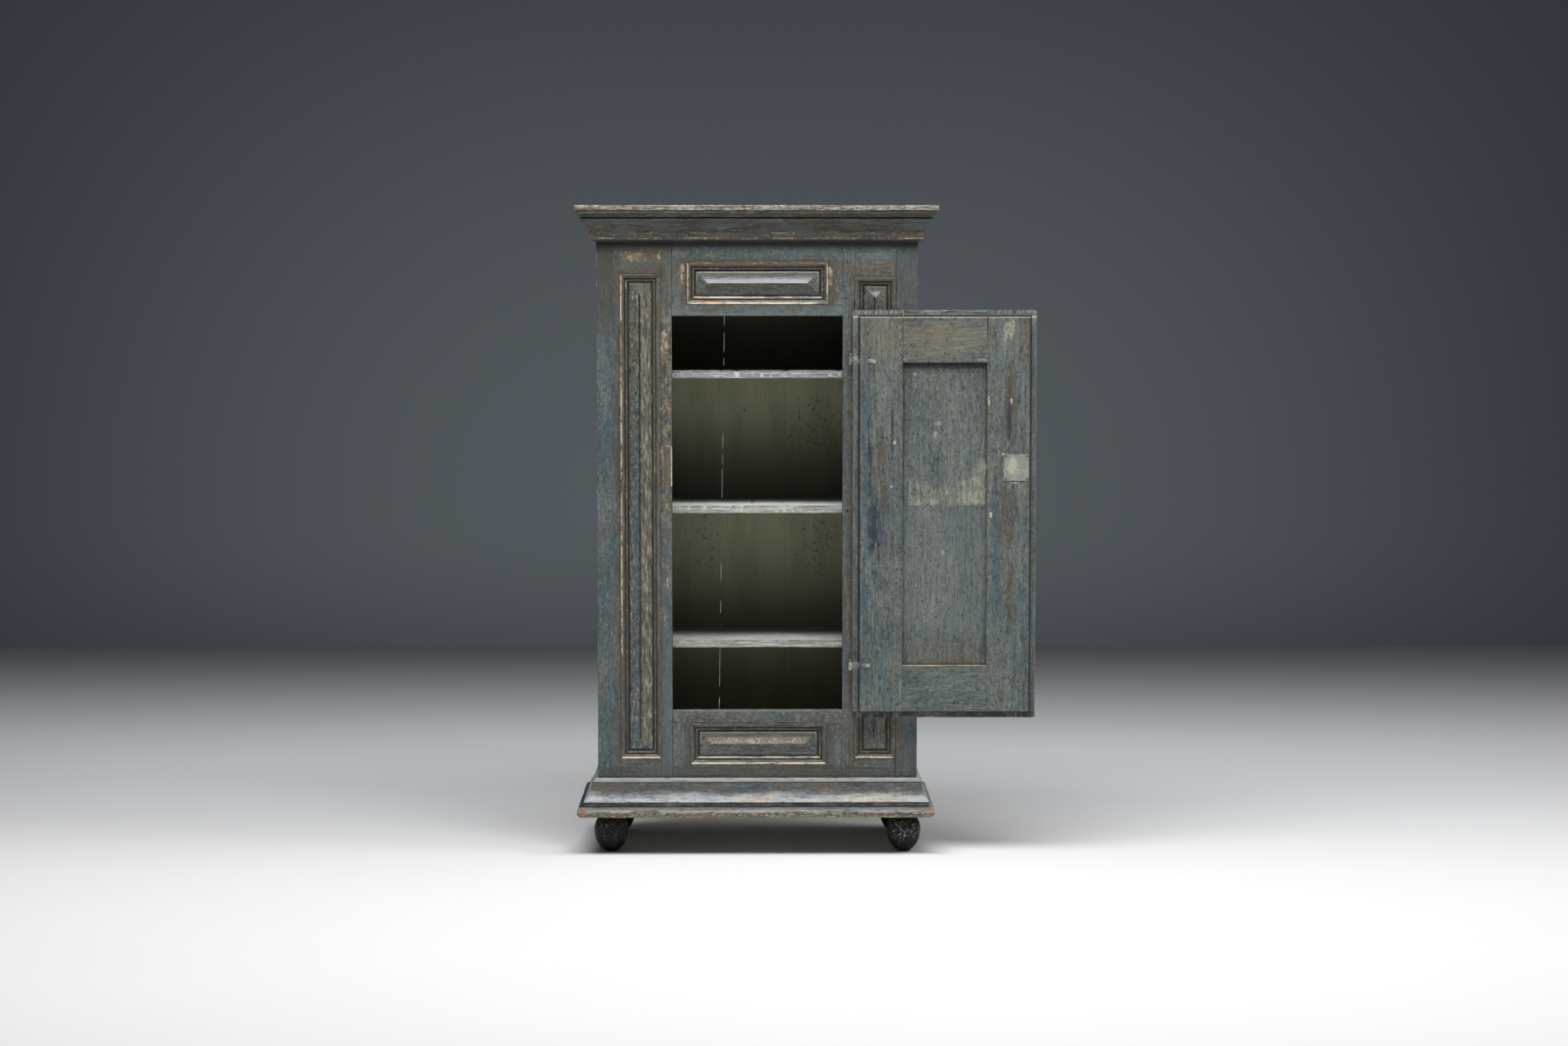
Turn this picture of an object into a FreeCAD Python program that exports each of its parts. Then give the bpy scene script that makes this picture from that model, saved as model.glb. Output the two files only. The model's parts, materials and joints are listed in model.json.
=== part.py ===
# Painted wooden cupboard with one lipped door, a face frame of raised panels,
# a moulded cornice and plinth, open shelves and four turned feet.
# Millimetres. +X is to the right seen from the front, +Y to the back, +Z up.
# The origin is on the floor, under the middle of the case.
import FreeCAD, Part
import math
import os

Vector = FreeCAD.Vector

# Carcass
case_depth = 410.0
foot_height = 102.0
frame_thickness = 27.0
side_thickness = 20.0
back_thickness = 18.0
back_rebate = 10.0
top_thickness = 20.0

# Face frame, from the bottom rail up
bottom_rail_height = 135.5
bottom_panel_height = 112.0
sill_rail_height = 33.0
opening_height = 1046.0
head_rail_height = 29.5
top_panel_height = 112.0
top_rail_height = 127.0

# Face frame, from the opening out to either side
opening_width = 450.0
bay_width = 198.5
left_inner_stile_width = 29.0
left_outer_stile_width = 60.8
right_inner_stile_width = 32.6
right_outer_stile_width = 57.8
bay_bottom_rail_height = 151.0
left_bay_top_rail_height = 158.0
right_bay_top_rail_height = 166.0
top_left_muntin_width = 38.5
top_right_muntin_width = 36.5
bottom_left_muntin_width = 46.5
bottom_right_muntin_width = 41.5
tenon_length = 12.0
tenon_inset = 11.0
tenon_open_inset = 4.0

# Panels and the mouldings planted round them
moulding_width = 22.0
moulding_depth = 12.0
panel_tongue = 7.0
groove_depth = 9.0
panel_shrink_gap = 1.0
field_gap = 0.6
shoulder_width = 4.8
shoulder_rise = 3.5
cove_rise = 8.0
hip_length = 31.0

# Inside
shelf_count = 3
shelf_pitch = 358.0
shelf_thickness = 19.0
shelf_front_gap = 1.0
floor_rise = 107.0
floor_thickness = 19.0
cleat_width = 18.0
cleat_height = 22.0
cleat_setback = 20.0
back_joint_gap = 0.6
back_split_gap = 3.0
back_split_lean = 11.5
block_size = 75.0

# Cornice and plinth
cornice_height = 95.0
cornice_front_projection = 53.0
cornice_left_projection = 54.5
cornice_right_projection = 51.5
plinth_height = 101.0
plinth_front_projection = 50.0
plinth_left_projection = 54.5
plinth_right_projection = 46.0

# Feet
foot_radius = 45.0
foot_flat_radius = 10.0
foot_belly_height = 59.0
foot_neck_radius = 30.0
foot_neck_height = 5.0
front_foot_inset_x = 32.5
front_foot_inset_y = 43.0
back_foot_inset_x = 40.0
back_foot_inset_y = 60.0
spigot_radius = 10.0
spigot_length = 40.0
spigot_hole_spare = 2.0

# Door
door_rest_angle = 180.0
door_lip_thickness = 14.0
door_tongue_thickness = 16.0
door_lip_overlap = 18.0
door_lip_corner = 7.0
door_lip_rounding = 4.0
door_side_gap = 1.5
door_bottom_gap = 1.0
door_top_gap = 3.0
door_closing_gap = 0.5
door_stile_width = 112.0
door_top_rail_height = 119.0
door_bottom_rail_height = 122.0
door_tenon_length = 60.0
door_field_slope = 34.0

# Hinges, each a pin on a spike in the frame and an eye on a strap in the door
upper_hinge_inset = 130.0
lower_hinge_inset = 139.0
hinge_pin_stand = 9.0
hinge_pin_beyond_lip = 5.5
hinge_barrel_radius = 5.5
hinge_pin_radius = 2.4
hinge_pin_clearance = 0.05
hinge_eye_height = 15.0
hinge_base_height = 5.6
hinge_end_gap = 0.4
finial_radius = 2.8
finial_neck_radius = 1.6
finial_neck_height = 2.4
spike_size = 4.5
spike_length = 22.0
strap_thickness = 2.6
strap_height = 10.0
strap_rounding = 1.0
leaf_width = 12.0
leaf_height = 19.5
leaf_skew = 3.0
neck_wall = 1.2
clinch_length = 23.0
upper_strap_reach = 45.0
lower_strap_reach = 31.0
upper_strap_drop = 4.0
lower_strap_drop = -1.5

# Lock side of the door, and the mended place on the frame
keyhole_rise = 647.5
keyhole_backset = 32.0
keyhole_radius = 3.5
keyhole_slot_width = 3.4
keyhole_slot_length = 13.0
keyhole_depth = 5.0
escutcheon_width = 26.0
escutcheon_height = 48.0
escutcheon_thickness = 1.4
cover_width = 68.0
cover_height = 72.0
cover_thickness = 1.5
cover_edge_gap = 1.0
cover_hole_radius = 2.2
nail_head_radius = 2.4
nail_head_thickness = 0.9
nail_shank_radius = 0.9
nail_length = 11.0
nail_inset = 6.0
patch_height = 104.0
patch_depth = 8.0
patch_foot_inset = 8.0

# Any cut runs past the face that it leaves by this much
overrun = 4.0
# Two places nearer than this are one
tolerance = 1e-6

# Moulding outlines as shares of their projection and height, from the foot up.
# Two numbers are a straight run to a point, four are an arc by way of a point.
cornice_outline_shares = (
    (0.03, 0.0),
    (0.255, 0.085),
    (0.275, 0.11),
    (0.30, 0.242),
    (0.456, 0.415, 0.735, 0.565),
    (0.78, 0.632),
    (0.715, 0.645),
    (0.715, 0.675),
    (0.778, 0.682),
    (0.83, 0.718),
    (0.865, 0.740),
    (0.875, 0.755),
    (0.945, 0.785),
    (0.960, 0.852),
    (0.985, 0.862),
    (1.0, 0.875),
    (1.0, 0.968),
    (0.990, 0.992, 0.950, 1.0),
    (0.0, 1.0),
)
plinth_outline_shares = (
    (0.86, 0.0),
    (1.0, 0.15, 0.88, 0.277),
    (0.68, 0.289),
    (0.68, 0.380),
    (0.70, 0.388),
    (0.44, 0.559, 0.31, 0.775),
    (0.29, 0.877),
    (0.235, 0.887),
    (0.20, 0.966, 0.07, 1.0),
    (0.0, 1.0),
)
# Panel moulding: shares of its width, from the frame in, and of its depth, from the back out
moulding_outline_shares = (
    (0.0, 1.0),
    (0.05, 1.03),
    (0.33, 0.88, 0.57, 0.52),
    (0.58, 0.40),
    (0.67, 0.40),
    (0.68, 0.50),
    (0.86, 0.38, 0.98, 0.12),
    (1.0, 0.12),
    (1.0, 0.0),
)
# Joints between the back boards, as shares of the width of the back
back_joint_shares = (0.0, 0.172, 0.383, 0.593, 0.804, 1.0)
back_split_joint = 2
# Keyhole plate: half outline as shares of its half width and height, from the foot up
escutcheon_outline_shares = (
    (0.0, 0.0),
    (0.62, 0.10, 0.60, 0.30),
    (0.66, 0.34, 1.0, 0.50),
    (0.66, 0.66, 0.60, 0.70),
    (0.62, 0.90, 0.0, 1.0),
)
# How far a mitre cut runs past the edge of a moulding, and a cove past the ridge of a panel
mitre_reach_share = 1.1
hip_overrun_share = 1.2
# Points on either half of the curve of a foot
foot_curve_steps = 6

# Places that follow from the sizes above
half_opening = opening_width / 2
half_width = half_opening + bay_width
case_width = 2 * half_width
front = -case_depth / 2
back = case_depth / 2
frame_back = front + frame_thickness
inner_half = half_width - side_thickness
back_inside = back - back_thickness
bottom_panel_sill = foot_height + bottom_rail_height
bottom_panel_top = bottom_panel_sill + bottom_panel_height
opening_sill = bottom_panel_top + sill_rail_height
opening_top = opening_sill + opening_height
top_panel_sill = opening_top + head_rail_height
top_panel_top = top_panel_sill + top_panel_height
carcass_top = top_panel_top + top_rail_height
total_height = carcass_top + top_thickness
floor_top = foot_height + floor_rise
side_panel_sill = foot_height + bay_bottom_rail_height
keyhole_height = opening_sill + keyhole_rise
bays = {
    "left": (
        half_opening + left_inner_stile_width,
        half_width - left_outer_stile_width,
        carcass_top - left_bay_top_rail_height,
    ),
    "right": (
        half_opening + right_inner_stile_width,
        half_width - right_outer_stile_width,
        carcass_top - right_bay_top_rail_height,
    ),
}
panel_plane = front + moulding_depth
sides = {"left": -1, "right": 1}

# The door in its closed place, before it is swung to its rest angle
tongue_half = half_opening - door_side_gap
tongue_low = opening_sill + door_bottom_gap
tongue_high = opening_top - door_top_gap
lip_half = tongue_half + door_lip_overlap
lip_low = tongue_low - door_lip_overlap
lip_high = tongue_high + door_lip_overlap
lip_rear = front - door_closing_gap
door_front = lip_rear - door_lip_thickness
door_rear = lip_rear + door_tongue_thickness
door_panel_half = tongue_half - door_stile_width
door_panel_low = tongue_low + door_bottom_rail_height
door_panel_high = tongue_high - door_top_rail_height
hinge_x = lip_half + hinge_pin_beyond_lip
hinge_y = front - hinge_pin_stand
hinge_places = {
    "upper": (lip_high - upper_hinge_inset, upper_strap_reach, upper_strap_drop),
    "lower": (lip_low + lower_hinge_inset, lower_strap_reach, lower_strap_drop),
}
strap_front = lip_rear - strap_thickness
keyhole_x = -(tongue_half - keyhole_backset)
cover_left = -(tongue_half - cover_edge_gap)

parts = {}


def block(x0, x1, y0, y1, z0, z1):
    """A box between two corners, given in any order along X."""
    low = Vector(min(x0, x1), y0, z0)
    return Part.makeBox(abs(x1 - x0), y1 - y0, z1 - z0, low)


def prism(points, direction):
    """A straight prism on a closed run of points."""
    wire = Part.makePolygon(list(points) + [points[0]])
    return Part.Face(wire).extrude(direction)


def outline_face(shares, across, up, place):
    """A closed face from an outline of shares, set in space by place(a, b)."""
    here = place(0.0, 0.0)
    start = here
    edges = []
    for step in shares:
        end = place(step[-2] * across, step[-1] * up)
        if len(step) == 4:
            middle = place(step[0] * across, step[1] * up)
            edges.append(Part.Arc(here, middle, end).toShape())
        elif not end.isEqual(here, tolerance):
            edges.append(Part.makeLine(here, end))
        here = end
    if not here.isEqual(start, tolerance):
        edges.append(Part.makeLine(here, start))
    return Part.Face(Part.Wire(edges))


def cove_run(start, inward, rise, slope, stretch):
    """The edges from the margin of a field: a bevelled shoulder, then a cove that steepens."""
    shoulder = start + inward * shoulder_width + rise * shoulder_rise
    bend = math.atan2(cove_rise, slope) * stretch
    radius = (slope ** 2 + cove_rise ** 2) / (2 * cove_rise)
    middle, end = [
        shoulder + inward * (radius * math.sin(turn)) + rise * (radius * (1 - math.cos(turn)))
        for turn in (bend, 2 * bend)
    ]
    return [Part.makeLine(start, shoulder), Part.Arc(shoulder, middle, end).toShape()], end


def fielded_prism(low, high, across, length, slope, stretch, level):
    """A prism whose section has a shoulder and a cove at both edges."""
    rise = Vector(0, -1, 0)
    start = across * low + Vector(0, level, 0)
    finish = across * high + Vector(0, level, 0)
    first, first_top = cove_run(start, across, rise, slope, stretch)
    last, last_top = cove_run(finish, across * -1, rise, slope, stretch)
    edges = first + last + [Part.makeLine(finish, start)]
    if not first_top.isEqual(last_top, tolerance):
        edges.append(Part.makeLine(first_top, last_top))
    face = Part.Face(Part.Wire(Part.sortEdges(edges)[0]))
    return face.extrude(length)


def raised_field(x0, x1, z0, z1, slope_x, slope_z, level):
    """The field of a panel: coved on all four sides, mitred at its corners."""
    upright = x1 - x0 < z1 - z0
    stretch_x = 1.0 if upright else hip_overrun_share
    stretch_z = hip_overrun_share if upright else 1.0
    along_z = fielded_prism(x0, x1, Vector(1, 0, 0), Vector(0, 0, z1 - z0), slope_x, stretch_x, level)
    along_z.translate(Vector(0, 0, z0))
    along_x = fielded_prism(z0, z1, Vector(0, 0, 1), Vector(x1 - x0, 0, 0), slope_z, stretch_z, level)
    along_x.translate(Vector(x0, 0, 0))
    return along_z.common(along_x)


def ridge_slope(low, high):
    """The slope of a cove that meets its fellow in a ridge midway between two edges."""
    return (high - low) / 2 - moulding_width - field_gap - shoulder_width


def panel_board(x0, x1, z0, z1, plane, slope_x, slope_z):
    """A panel for the opening x0..x1, z0..z1, with a tongue all round it."""
    grip = groove_depth - panel_shrink_gap
    board = block(x0 - grip, x1 + grip, plane, plane + panel_tongue, z0 - grip, z1 + grip)
    inset = moulding_width + field_gap
    field = raised_field(x0 + inset, x1 - inset, z0 + inset, z1 - inset, slope_x, slope_z, plane)
    return board.fuse(field).removeSplitter()


def panel_groove(x0, x1, z0, z1, plane):
    """The groove that holds a panel's tongue in the frame round it."""
    return block(
        x0 - groove_depth, x1 + groove_depth,
        plane, plane + panel_tongue,
        z0 - groove_depth, z1 + groove_depth,
    )


def moulding_strip(start, end, inward, plane):
    """One mitred strip of panel moulding, planted between two corners."""
    along = (end - start).normalize()
    out = Vector(0, -1, 0)
    base = Vector(start.x, plane, start.z)

    def place(across, up):
        return base + inward * across + out * up

    face = outline_face(moulding_outline_shares, moulding_width, moulding_depth, place)
    bar = face.extrude(end - start)
    corners = (
        start,
        start + (inward + along) * moulding_width,
        end + (inward - along) * moulding_width,
        end,
    )
    top = plane - moulding_depth - overrun
    plan = [Vector(corner.x, top, corner.z) for corner in corners]
    return bar.common(prism(plan, Vector(0, plane - top, 0)))


def moulding_frame(x0, x1, z0, z1, plane):
    """Four strips of moulding round a panel, mitred at the corners."""
    low_left = Vector(x0, plane, z0)
    low_right = Vector(x1, plane, z0)
    high_right = Vector(x1, plane, z1)
    high_left = Vector(x0, plane, z1)
    runs = (
        (low_left, low_right, Vector(0, 0, 1)),
        (low_right, high_right, Vector(-1, 0, 0)),
        (high_right, high_left, Vector(0, 0, -1)),
        (high_left, low_left, Vector(1, 0, 0)),
    )
    return Part.makeCompound([moulding_strip(a, b, inward, plane) for a, b, inward in runs])


def cut_all(shape, tools):
    """A solid less every tool."""
    for tool in tools:
        shape = shape.cut(tool)
    return shape


def stub(x0, x1, z0, z1):
    """A stub tenon of the face frame, in line with the panel grooves."""
    return block(x0, x1, panel_plane, panel_plane + panel_tongue, z0, z1)


def side_bays():
    """The two tall panels beside the door, and the short rails above and below them."""
    for name, side in sides.items():
        inner_edge, outer_edge, panel_top = bays[name]
        x_in = side * inner_edge
        x_out = side * outer_edge
        low_x = min(x_in, x_out)
        high_x = max(x_in, x_out)
        span = (low_x, high_x, side_panel_sill, panel_top, panel_plane)
        parts["panel_" + name] = panel_board(*span, ridge_slope(low_x, high_x), hip_length)
        parts["moulding_" + name] = moulding_frame(*span)
        groove = panel_groove(*span)
        rails = {
            "bottom": (
                foot_height, side_panel_sill,
                foot_height + tenon_open_inset, side_panel_sill - tenon_inset,
            ),
            "top": (
                panel_top, carcass_top,
                panel_top + tenon_inset, carcass_top - tenon_open_inset,
            ),
        }
        tenons = []
        for level, (z0, z1, tenon_low, tenon_high) in rails.items():
            rail = block(low_x, high_x, front, frame_back, z0, z1).cut(groove)
            ends = stub(low_x - tenon_length, high_x + tenon_length, tenon_low, tenon_high)
            parts["bay_rail_" + level + "_" + name] = rail.fuse(ends).removeSplitter()
            tenons.append(ends)
        outer = block(x_out, side * half_width, front, frame_back, foot_height, carcass_top)
        parts["outer_stile_" + name] = cut_all(outer, [groove] + tenons)
        inner = block(x_in, side * half_opening, front, frame_back, foot_height, carcass_top)
        parts["inner_stile_" + name] = cut_all(inner, [groove] + tenons)


def centre_bay(level, muntin_widths, z_low, panel_low, panel_high, z_high, rails):
    """A wide panel between the inner stiles, with a rail above and below and a muntin at each end."""
    edges = {
        name: side * (half_opening - width)
        for (name, side), width in zip(sides.items(), muntin_widths)
    }
    span = (edges["left"], edges["right"], panel_low, panel_high, panel_plane)
    parts["panel_" + level] = panel_board(*span, hip_length, ridge_slope(panel_low, panel_high))
    parts["moulding_" + level] = moulding_frame(*span)
    groove = panel_groove(*span)
    muntins = []
    muntin_tenons = []
    for name, side in sides.items():
        edge = edges[name]
        body = block(edge, side * half_opening, front, frame_back, panel_low, panel_high)
        tail = stub(
            edge + side * tenon_inset, side * (half_opening - tenon_open_inset),
            panel_low - tenon_length, panel_high + tenon_length,
        )
        muntins.append(body.cut(groove).fuse(tail).removeSplitter())
        muntin_tenons.append(tail)
    parts[level + "_muntins"] = Part.makeCompound(muntins)
    clear = tenon_length + tenon_open_inset
    ranges = (
        (rails[0], z_low, panel_low, z_low + tenon_open_inset, panel_low - clear),
        (rails[1], panel_high, z_high, panel_high + clear, z_high - tenon_open_inset),
    )
    for rail_name, z0, z1, tenon_low, tenon_high in ranges:
        rail = block(-half_opening, half_opening, front, frame_back, z0, z1)
        rail = cut_all(rail, [groove] + muntin_tenons)
        ends = []
        for name, side in sides.items():
            end = stub(side * half_opening, side * (half_opening + tenon_length), tenon_low, tenon_high)
            parts["inner_stile_" + name] = parts["inner_stile_" + name].cut(end)
            ends.append(end)
        parts[rail_name] = rail.fuse(ends).removeSplitter()


def centre_bays():
    """The panel above the door and the one below it."""
    centre_bay(
        "top", (top_left_muntin_width, top_right_muntin_width),
        opening_top, top_panel_sill, top_panel_top, carcass_top, ("head_rail", "top_rail"),
    )
    centre_bay(
        "bottom", (bottom_left_muntin_width, bottom_right_muntin_width),
        foot_height, bottom_panel_sill, bottom_panel_top, opening_sill, ("bottom_rail", "sill_rail"),
    )


def mended_stile():
    """The piece let into the left inner stile where the lock's bolt used to strike."""
    low = keyhole_height - patch_height / 2
    high = keyhole_height + patch_height / 2
    far_edge = -(half_opening + left_inner_stile_width)
    points = (
        Vector(-half_opening, front, low),
        Vector(-half_opening, front, high),
        Vector(far_edge, front, high),
        Vector(far_edge + patch_foot_inset, front, low),
    )
    patch = prism(points, Vector(0, patch_depth, 0))
    parts["inner_stile_left"] = parts["inner_stile_left"].cut(patch)
    parts["stile_patch"] = patch


def side_boards():
    """The plain side boards, rebated at the back for the back boards."""
    for name, side in sides.items():
        board = block(side * inner_half, side * half_width, frame_back, back, foot_height, carcass_top)
        rebate = block(
            side * (inner_half - overrun), side * (inner_half + back_rebate),
            back_inside, back + overrun, foot_height - overrun, carcass_top + overrun,
        )
        parts["side_board_" + name] = board.cut(rebate)


def back_boards():
    """Upright back boards with open joints. One joint has shrunk to a leaning gap."""
    left = -(inner_half + back_rebate)
    width = -2 * left
    joints = [left + share * width for share in back_joint_shares]
    last = len(joints) - 1
    for number in range(last):
        edges = []
        for joint, inward in ((number, 1), (number + 1, -1)):
            gap = 0.0
            lean = 0.0
            if joint == back_split_joint:
                gap = back_split_gap / 2
                lean = back_split_lean
            elif 0 < joint < last:
                gap = back_joint_gap / 2
            centre = joints[joint] + inward * gap
            edges.append((centre - lean, centre + lean))
        (low_left, high_left), (low_right, high_right) = edges
        points = (
            Vector(low_left, back_inside, foot_height),
            Vector(low_right, back_inside, foot_height),
            Vector(high_right, back_inside, carcass_top),
            Vector(high_left, back_inside, carcass_top),
        )
        parts["back_board_%d" % (number + 1)] = prism(points, Vector(0, back_thickness, 0))


def top_and_floor():
    """The top board over the carcass, and the floor board inside it."""
    parts["top_board"] = block(-half_width, half_width, front, back, carcass_top, total_height)
    parts["floor_board"] = block(
        -inner_half, inner_half, frame_back, back_inside, floor_top - floor_thickness, floor_top,
    )


def shelves():
    """Evenly spaced shelves, each on a cleat at either end."""
    cleats = []
    for number in range(1, shelf_count + 1):
        top = floor_top + number * shelf_pitch
        under = top - shelf_thickness
        parts["shelf_%d" % number] = block(
            -inner_half, inner_half, frame_back + shelf_front_gap, back_inside, under, top,
        )
        for side in sides.values():
            cleats.append(block(
                side * (inner_half - cleat_width), side * inner_half,
                frame_back + cleat_setback, back_inside, under - cleat_height, under,
            ))
    parts["shelf_cleats"] = Part.makeCompound(cleats)


def mitred_course(name, shares, projections, height, foot):
    """A moulding round the front and both sides of the case, mitred at the front corners."""
    reach = {key: value * mitre_reach_share for key, value in projections.items()}
    corners = {
        side_name: (
            Vector(side * half_width, front, foot),
            Vector(side * (half_width + reach[side_name]), front - reach["front"], foot),
        )
        for side_name, side in sides.items()
    }

    def front_place(out, up):
        return Vector(-half_width - reach["left"], front - out, foot + up)

    face = outline_face(shares, projections["front"], height, front_place)
    bar = face.extrude(Vector(case_width + reach["left"] + reach["right"], 0, 0))
    plan = corners["left"] + corners["right"][::-1]
    parts[name + "_front"] = bar.common(prism(plan, Vector(0, 0, height)))
    for side_name, side in sides.items():

        def side_place(out, up):
            return Vector(side * (half_width + out), front - reach["front"], foot + up)

        face = outline_face(shares, projections[side_name], height, side_place)
        bar = face.extrude(Vector(0, case_depth + reach["front"], 0))
        inner, outer = corners[side_name]
        plan = (inner, outer, Vector(outer.x, back, foot), Vector(inner.x, back, foot))
        parts[name + "_" + side_name] = bar.common(prism(plan, Vector(0, 0, height)))


def courses():
    """The cornice round the top of the case and the plinth round its foot."""
    cornice = {
        "front": cornice_front_projection,
        "left": cornice_left_projection,
        "right": cornice_right_projection,
    }
    plinth = {
        "front": plinth_front_projection,
        "left": plinth_left_projection,
        "right": plinth_right_projection,
    }
    cornice_foot = total_height - cornice_height
    mitred_course("cornice", cornice_outline_shares, cornice, cornice_height, cornice_foot)
    mitred_course("plinth", plinth_outline_shares, plinth, plinth_height, foot_height)


def turned_foot():
    """A turned ball foot on a small flat, with a neck and a spigot on top."""
    neck_low = foot_height - foot_neck_height
    lower_turn = math.acos(foot_flat_radius / foot_radius)
    upper_turn = math.acos(foot_neck_radius / foot_radius)
    lower_bulge = foot_belly_height / math.sin(lower_turn)
    upper_bulge = (neck_low - foot_belly_height) / math.sin(upper_turn)
    points = []
    for step in range(-foot_curve_steps, foot_curve_steps + 1):
        turn, bulge = (upper_turn, upper_bulge) if step > 0 else (lower_turn, lower_bulge)
        angle = turn * step / foot_curve_steps
        across = foot_radius * math.cos(angle)
        points.append(Vector(across, 0, foot_belly_height + bulge * math.sin(angle)))
    ball = Part.BSplineCurve()
    ball.interpolate(points)
    corners = (
        Vector(foot_neck_radius, 0, neck_low),
        Vector(foot_neck_radius, 0, foot_height),
        Vector(spigot_radius, 0, foot_height),
        Vector(spigot_radius, 0, foot_height + spigot_length),
        Vector(0, 0, foot_height + spigot_length),
        Vector(0, 0, 0),
        Vector(foot_flat_radius, 0, 0),
    )
    edges = [ball.toShape()]
    for a, b in zip(corners, corners[1:]):
        edges.append(Part.makeLine(a, b))
    return Part.Face(Part.Wire(edges)).revolve(Vector(0, 0, 0), Vector(0, 0, 1), 360)


def feet():
    """Four feet, each with its spigot in a corner block under the floor board."""
    foot = turned_foot()
    corner_blocks = []
    rows = {
        "front": (front_foot_inset_x, front + front_foot_inset_y, frame_back),
        "back": (back_foot_inset_x, back - back_foot_inset_y, back_inside - block_size),
    }
    for row, (inset, y, block_low) in rows.items():
        for name, side in sides.items():
            x = side * (half_width - inset)
            placed = foot.copy()
            placed.translate(Vector(x, y, 0))
            parts["foot_%s_%s" % (row, name)] = placed
            corner = block(
                side * (inner_half - block_size), side * inner_half,
                block_low, block_low + block_size, foot_height, floor_top - floor_thickness,
            )
            hole = Part.makeCylinder(
                spigot_radius, spigot_length + spigot_hole_spare, Vector(x, y, foot_height),
            )
            corner_blocks.append(corner.cut(hole))
    parts["foot_blocks"] = Part.makeCompound(corner_blocks)


def door_slab():
    """The whole door before it is parted into stiles and rails: a lip in front, a tongue behind."""
    lip = block(-lip_half, lip_half, door_front, lip_rear, lip_low, lip_high)
    corners = [
        edge for edge in lip.Edges
        if abs(edge.Vertexes[0].Y - edge.Vertexes[1].Y) > tolerance
    ]
    lip = lip.makeFillet(door_lip_corner, corners)
    rim = [
        edge for edge in lip.Edges
        if all(abs(vertex.Y - door_front) < tolerance for vertex in edge.Vertexes)
    ]
    lip = lip.makeFillet(door_lip_rounding, rim)
    tongue = block(-tongue_half, tongue_half, lip_rear, door_rear, tongue_low, tongue_high)
    return lip.fuse(tongue).removeSplitter()


def door_tenon(side, z0, z1):
    """A rail's tenon, in line with the groove for the panel."""
    plane = door_front + moulding_depth
    reach = door_panel_half + door_tenon_length
    return block(side * door_panel_half, side * reach, plane, plane + panel_tongue, z0, z1)


def door_frame():
    """Door stiles, rails, panel and the moulding planted on the panel's outer side."""
    slab = door_slab()
    plane = door_front + moulding_depth
    span = (-door_panel_half, door_panel_half, door_panel_low, door_panel_high, plane)
    groove = panel_groove(*span)
    door_parts = {
        "door_panel": panel_board(*span, door_field_slope, door_field_slope),
        "door_moulding": moulding_frame(*span),
    }
    rails = {
        "door_bottom_rail": (
            lip_low, door_panel_low,
            tongue_low + tenon_inset, door_panel_low - tenon_inset,
        ),
        "door_top_rail": (
            door_panel_high, lip_high,
            door_panel_high + tenon_inset, tongue_high - tenon_inset,
        ),
    }
    tenons = []
    for name, (z0, z1, tenon_low, tenon_high) in rails.items():
        share = block(-door_panel_half, door_panel_half, door_front, door_rear, z0, z1)
        rail = slab.common(share).cut(groove)
        ends = [door_tenon(side, tenon_low, tenon_high) for side in sides.values()]
        tenons.extend(ends)
        door_parts[name] = rail.fuse(ends).removeSplitter()
    stiles = {"door_lock_stile": -1, "door_hinge_stile": 1}
    for name, side in stiles.items():
        share = block(side * door_panel_half, side * lip_half, door_front, door_rear, lip_low, lip_high)
        door_parts[name] = cut_all(slab.common(share), [groove] + tenons)
    return door_parts


def hinge_pintle(z):
    """The frame's half of a hinge: a base with a spike, a pin through the eye and a finial."""
    eye_low = z - hinge_eye_height / 2
    base_low = eye_low - hinge_end_gap - hinge_base_height
    centre = Vector(hinge_x, hinge_y, base_low)
    base = Part.makeCylinder(hinge_barrel_radius, hinge_base_height, centre)
    knob_low = z + hinge_eye_height / 2 + hinge_end_gap
    pin = Part.makeCylinder(hinge_pin_radius, knob_low - base_low, centre)
    collar = Part.makeCylinder(
        finial_radius, finial_neck_radius / 2, Vector(hinge_x, hinge_y, knob_low),
    )
    neck = Part.makeCylinder(
        finial_neck_radius, finial_neck_height + finial_radius, Vector(hinge_x, hinge_y, knob_low),
    )
    ball = Part.makeSphere(
        finial_radius, Vector(hinge_x, hinge_y, knob_low + finial_neck_height + finial_radius),
    )
    spike = spike_bar(base_low)
    return base.fuse([pin, collar, neck, ball, spike]).removeSplitter()


def spike_bar(base_low):
    """The square spike that is driven into the frame."""
    middle = base_low + hinge_base_height / 2
    return block(
        hinge_x - spike_size / 2, hinge_x + spike_size / 2,
        hinge_y, front + spike_length,
        middle - spike_size / 2, middle + spike_size / 2,
    )


def strap_leaf(z):
    """The flat leaf let into the back of the lip, a little askew."""
    outer = hinge_x - hinge_barrel_radius - neck_wall
    inner = outer - leaf_width
    half = leaf_height / 2
    points = (
        Vector(inner - leaf_skew, strap_front, z - half),
        Vector(outer - leaf_skew, strap_front, z - half),
        Vector(outer, strap_front, z + half),
        Vector(inner, strap_front, z + half),
    )
    return prism(points, Vector(0, strap_thickness, 0))


def strap_shank(z, reach):
    """The shank that runs through the stile, and turns out through its inner face."""
    turn = hinge_x - reach
    half = strap_height / 2
    outer = hinge_x - hinge_barrel_radius - neck_wall - leaf_skew
    shank = block(turn, outer, strap_front, lip_rear, z - half, z + half)
    riser = block(turn, turn + strap_thickness, strap_front, door_rear + strap_thickness, z - half, z + half)
    return shank.fuse(riser).removeSplitter()


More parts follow.
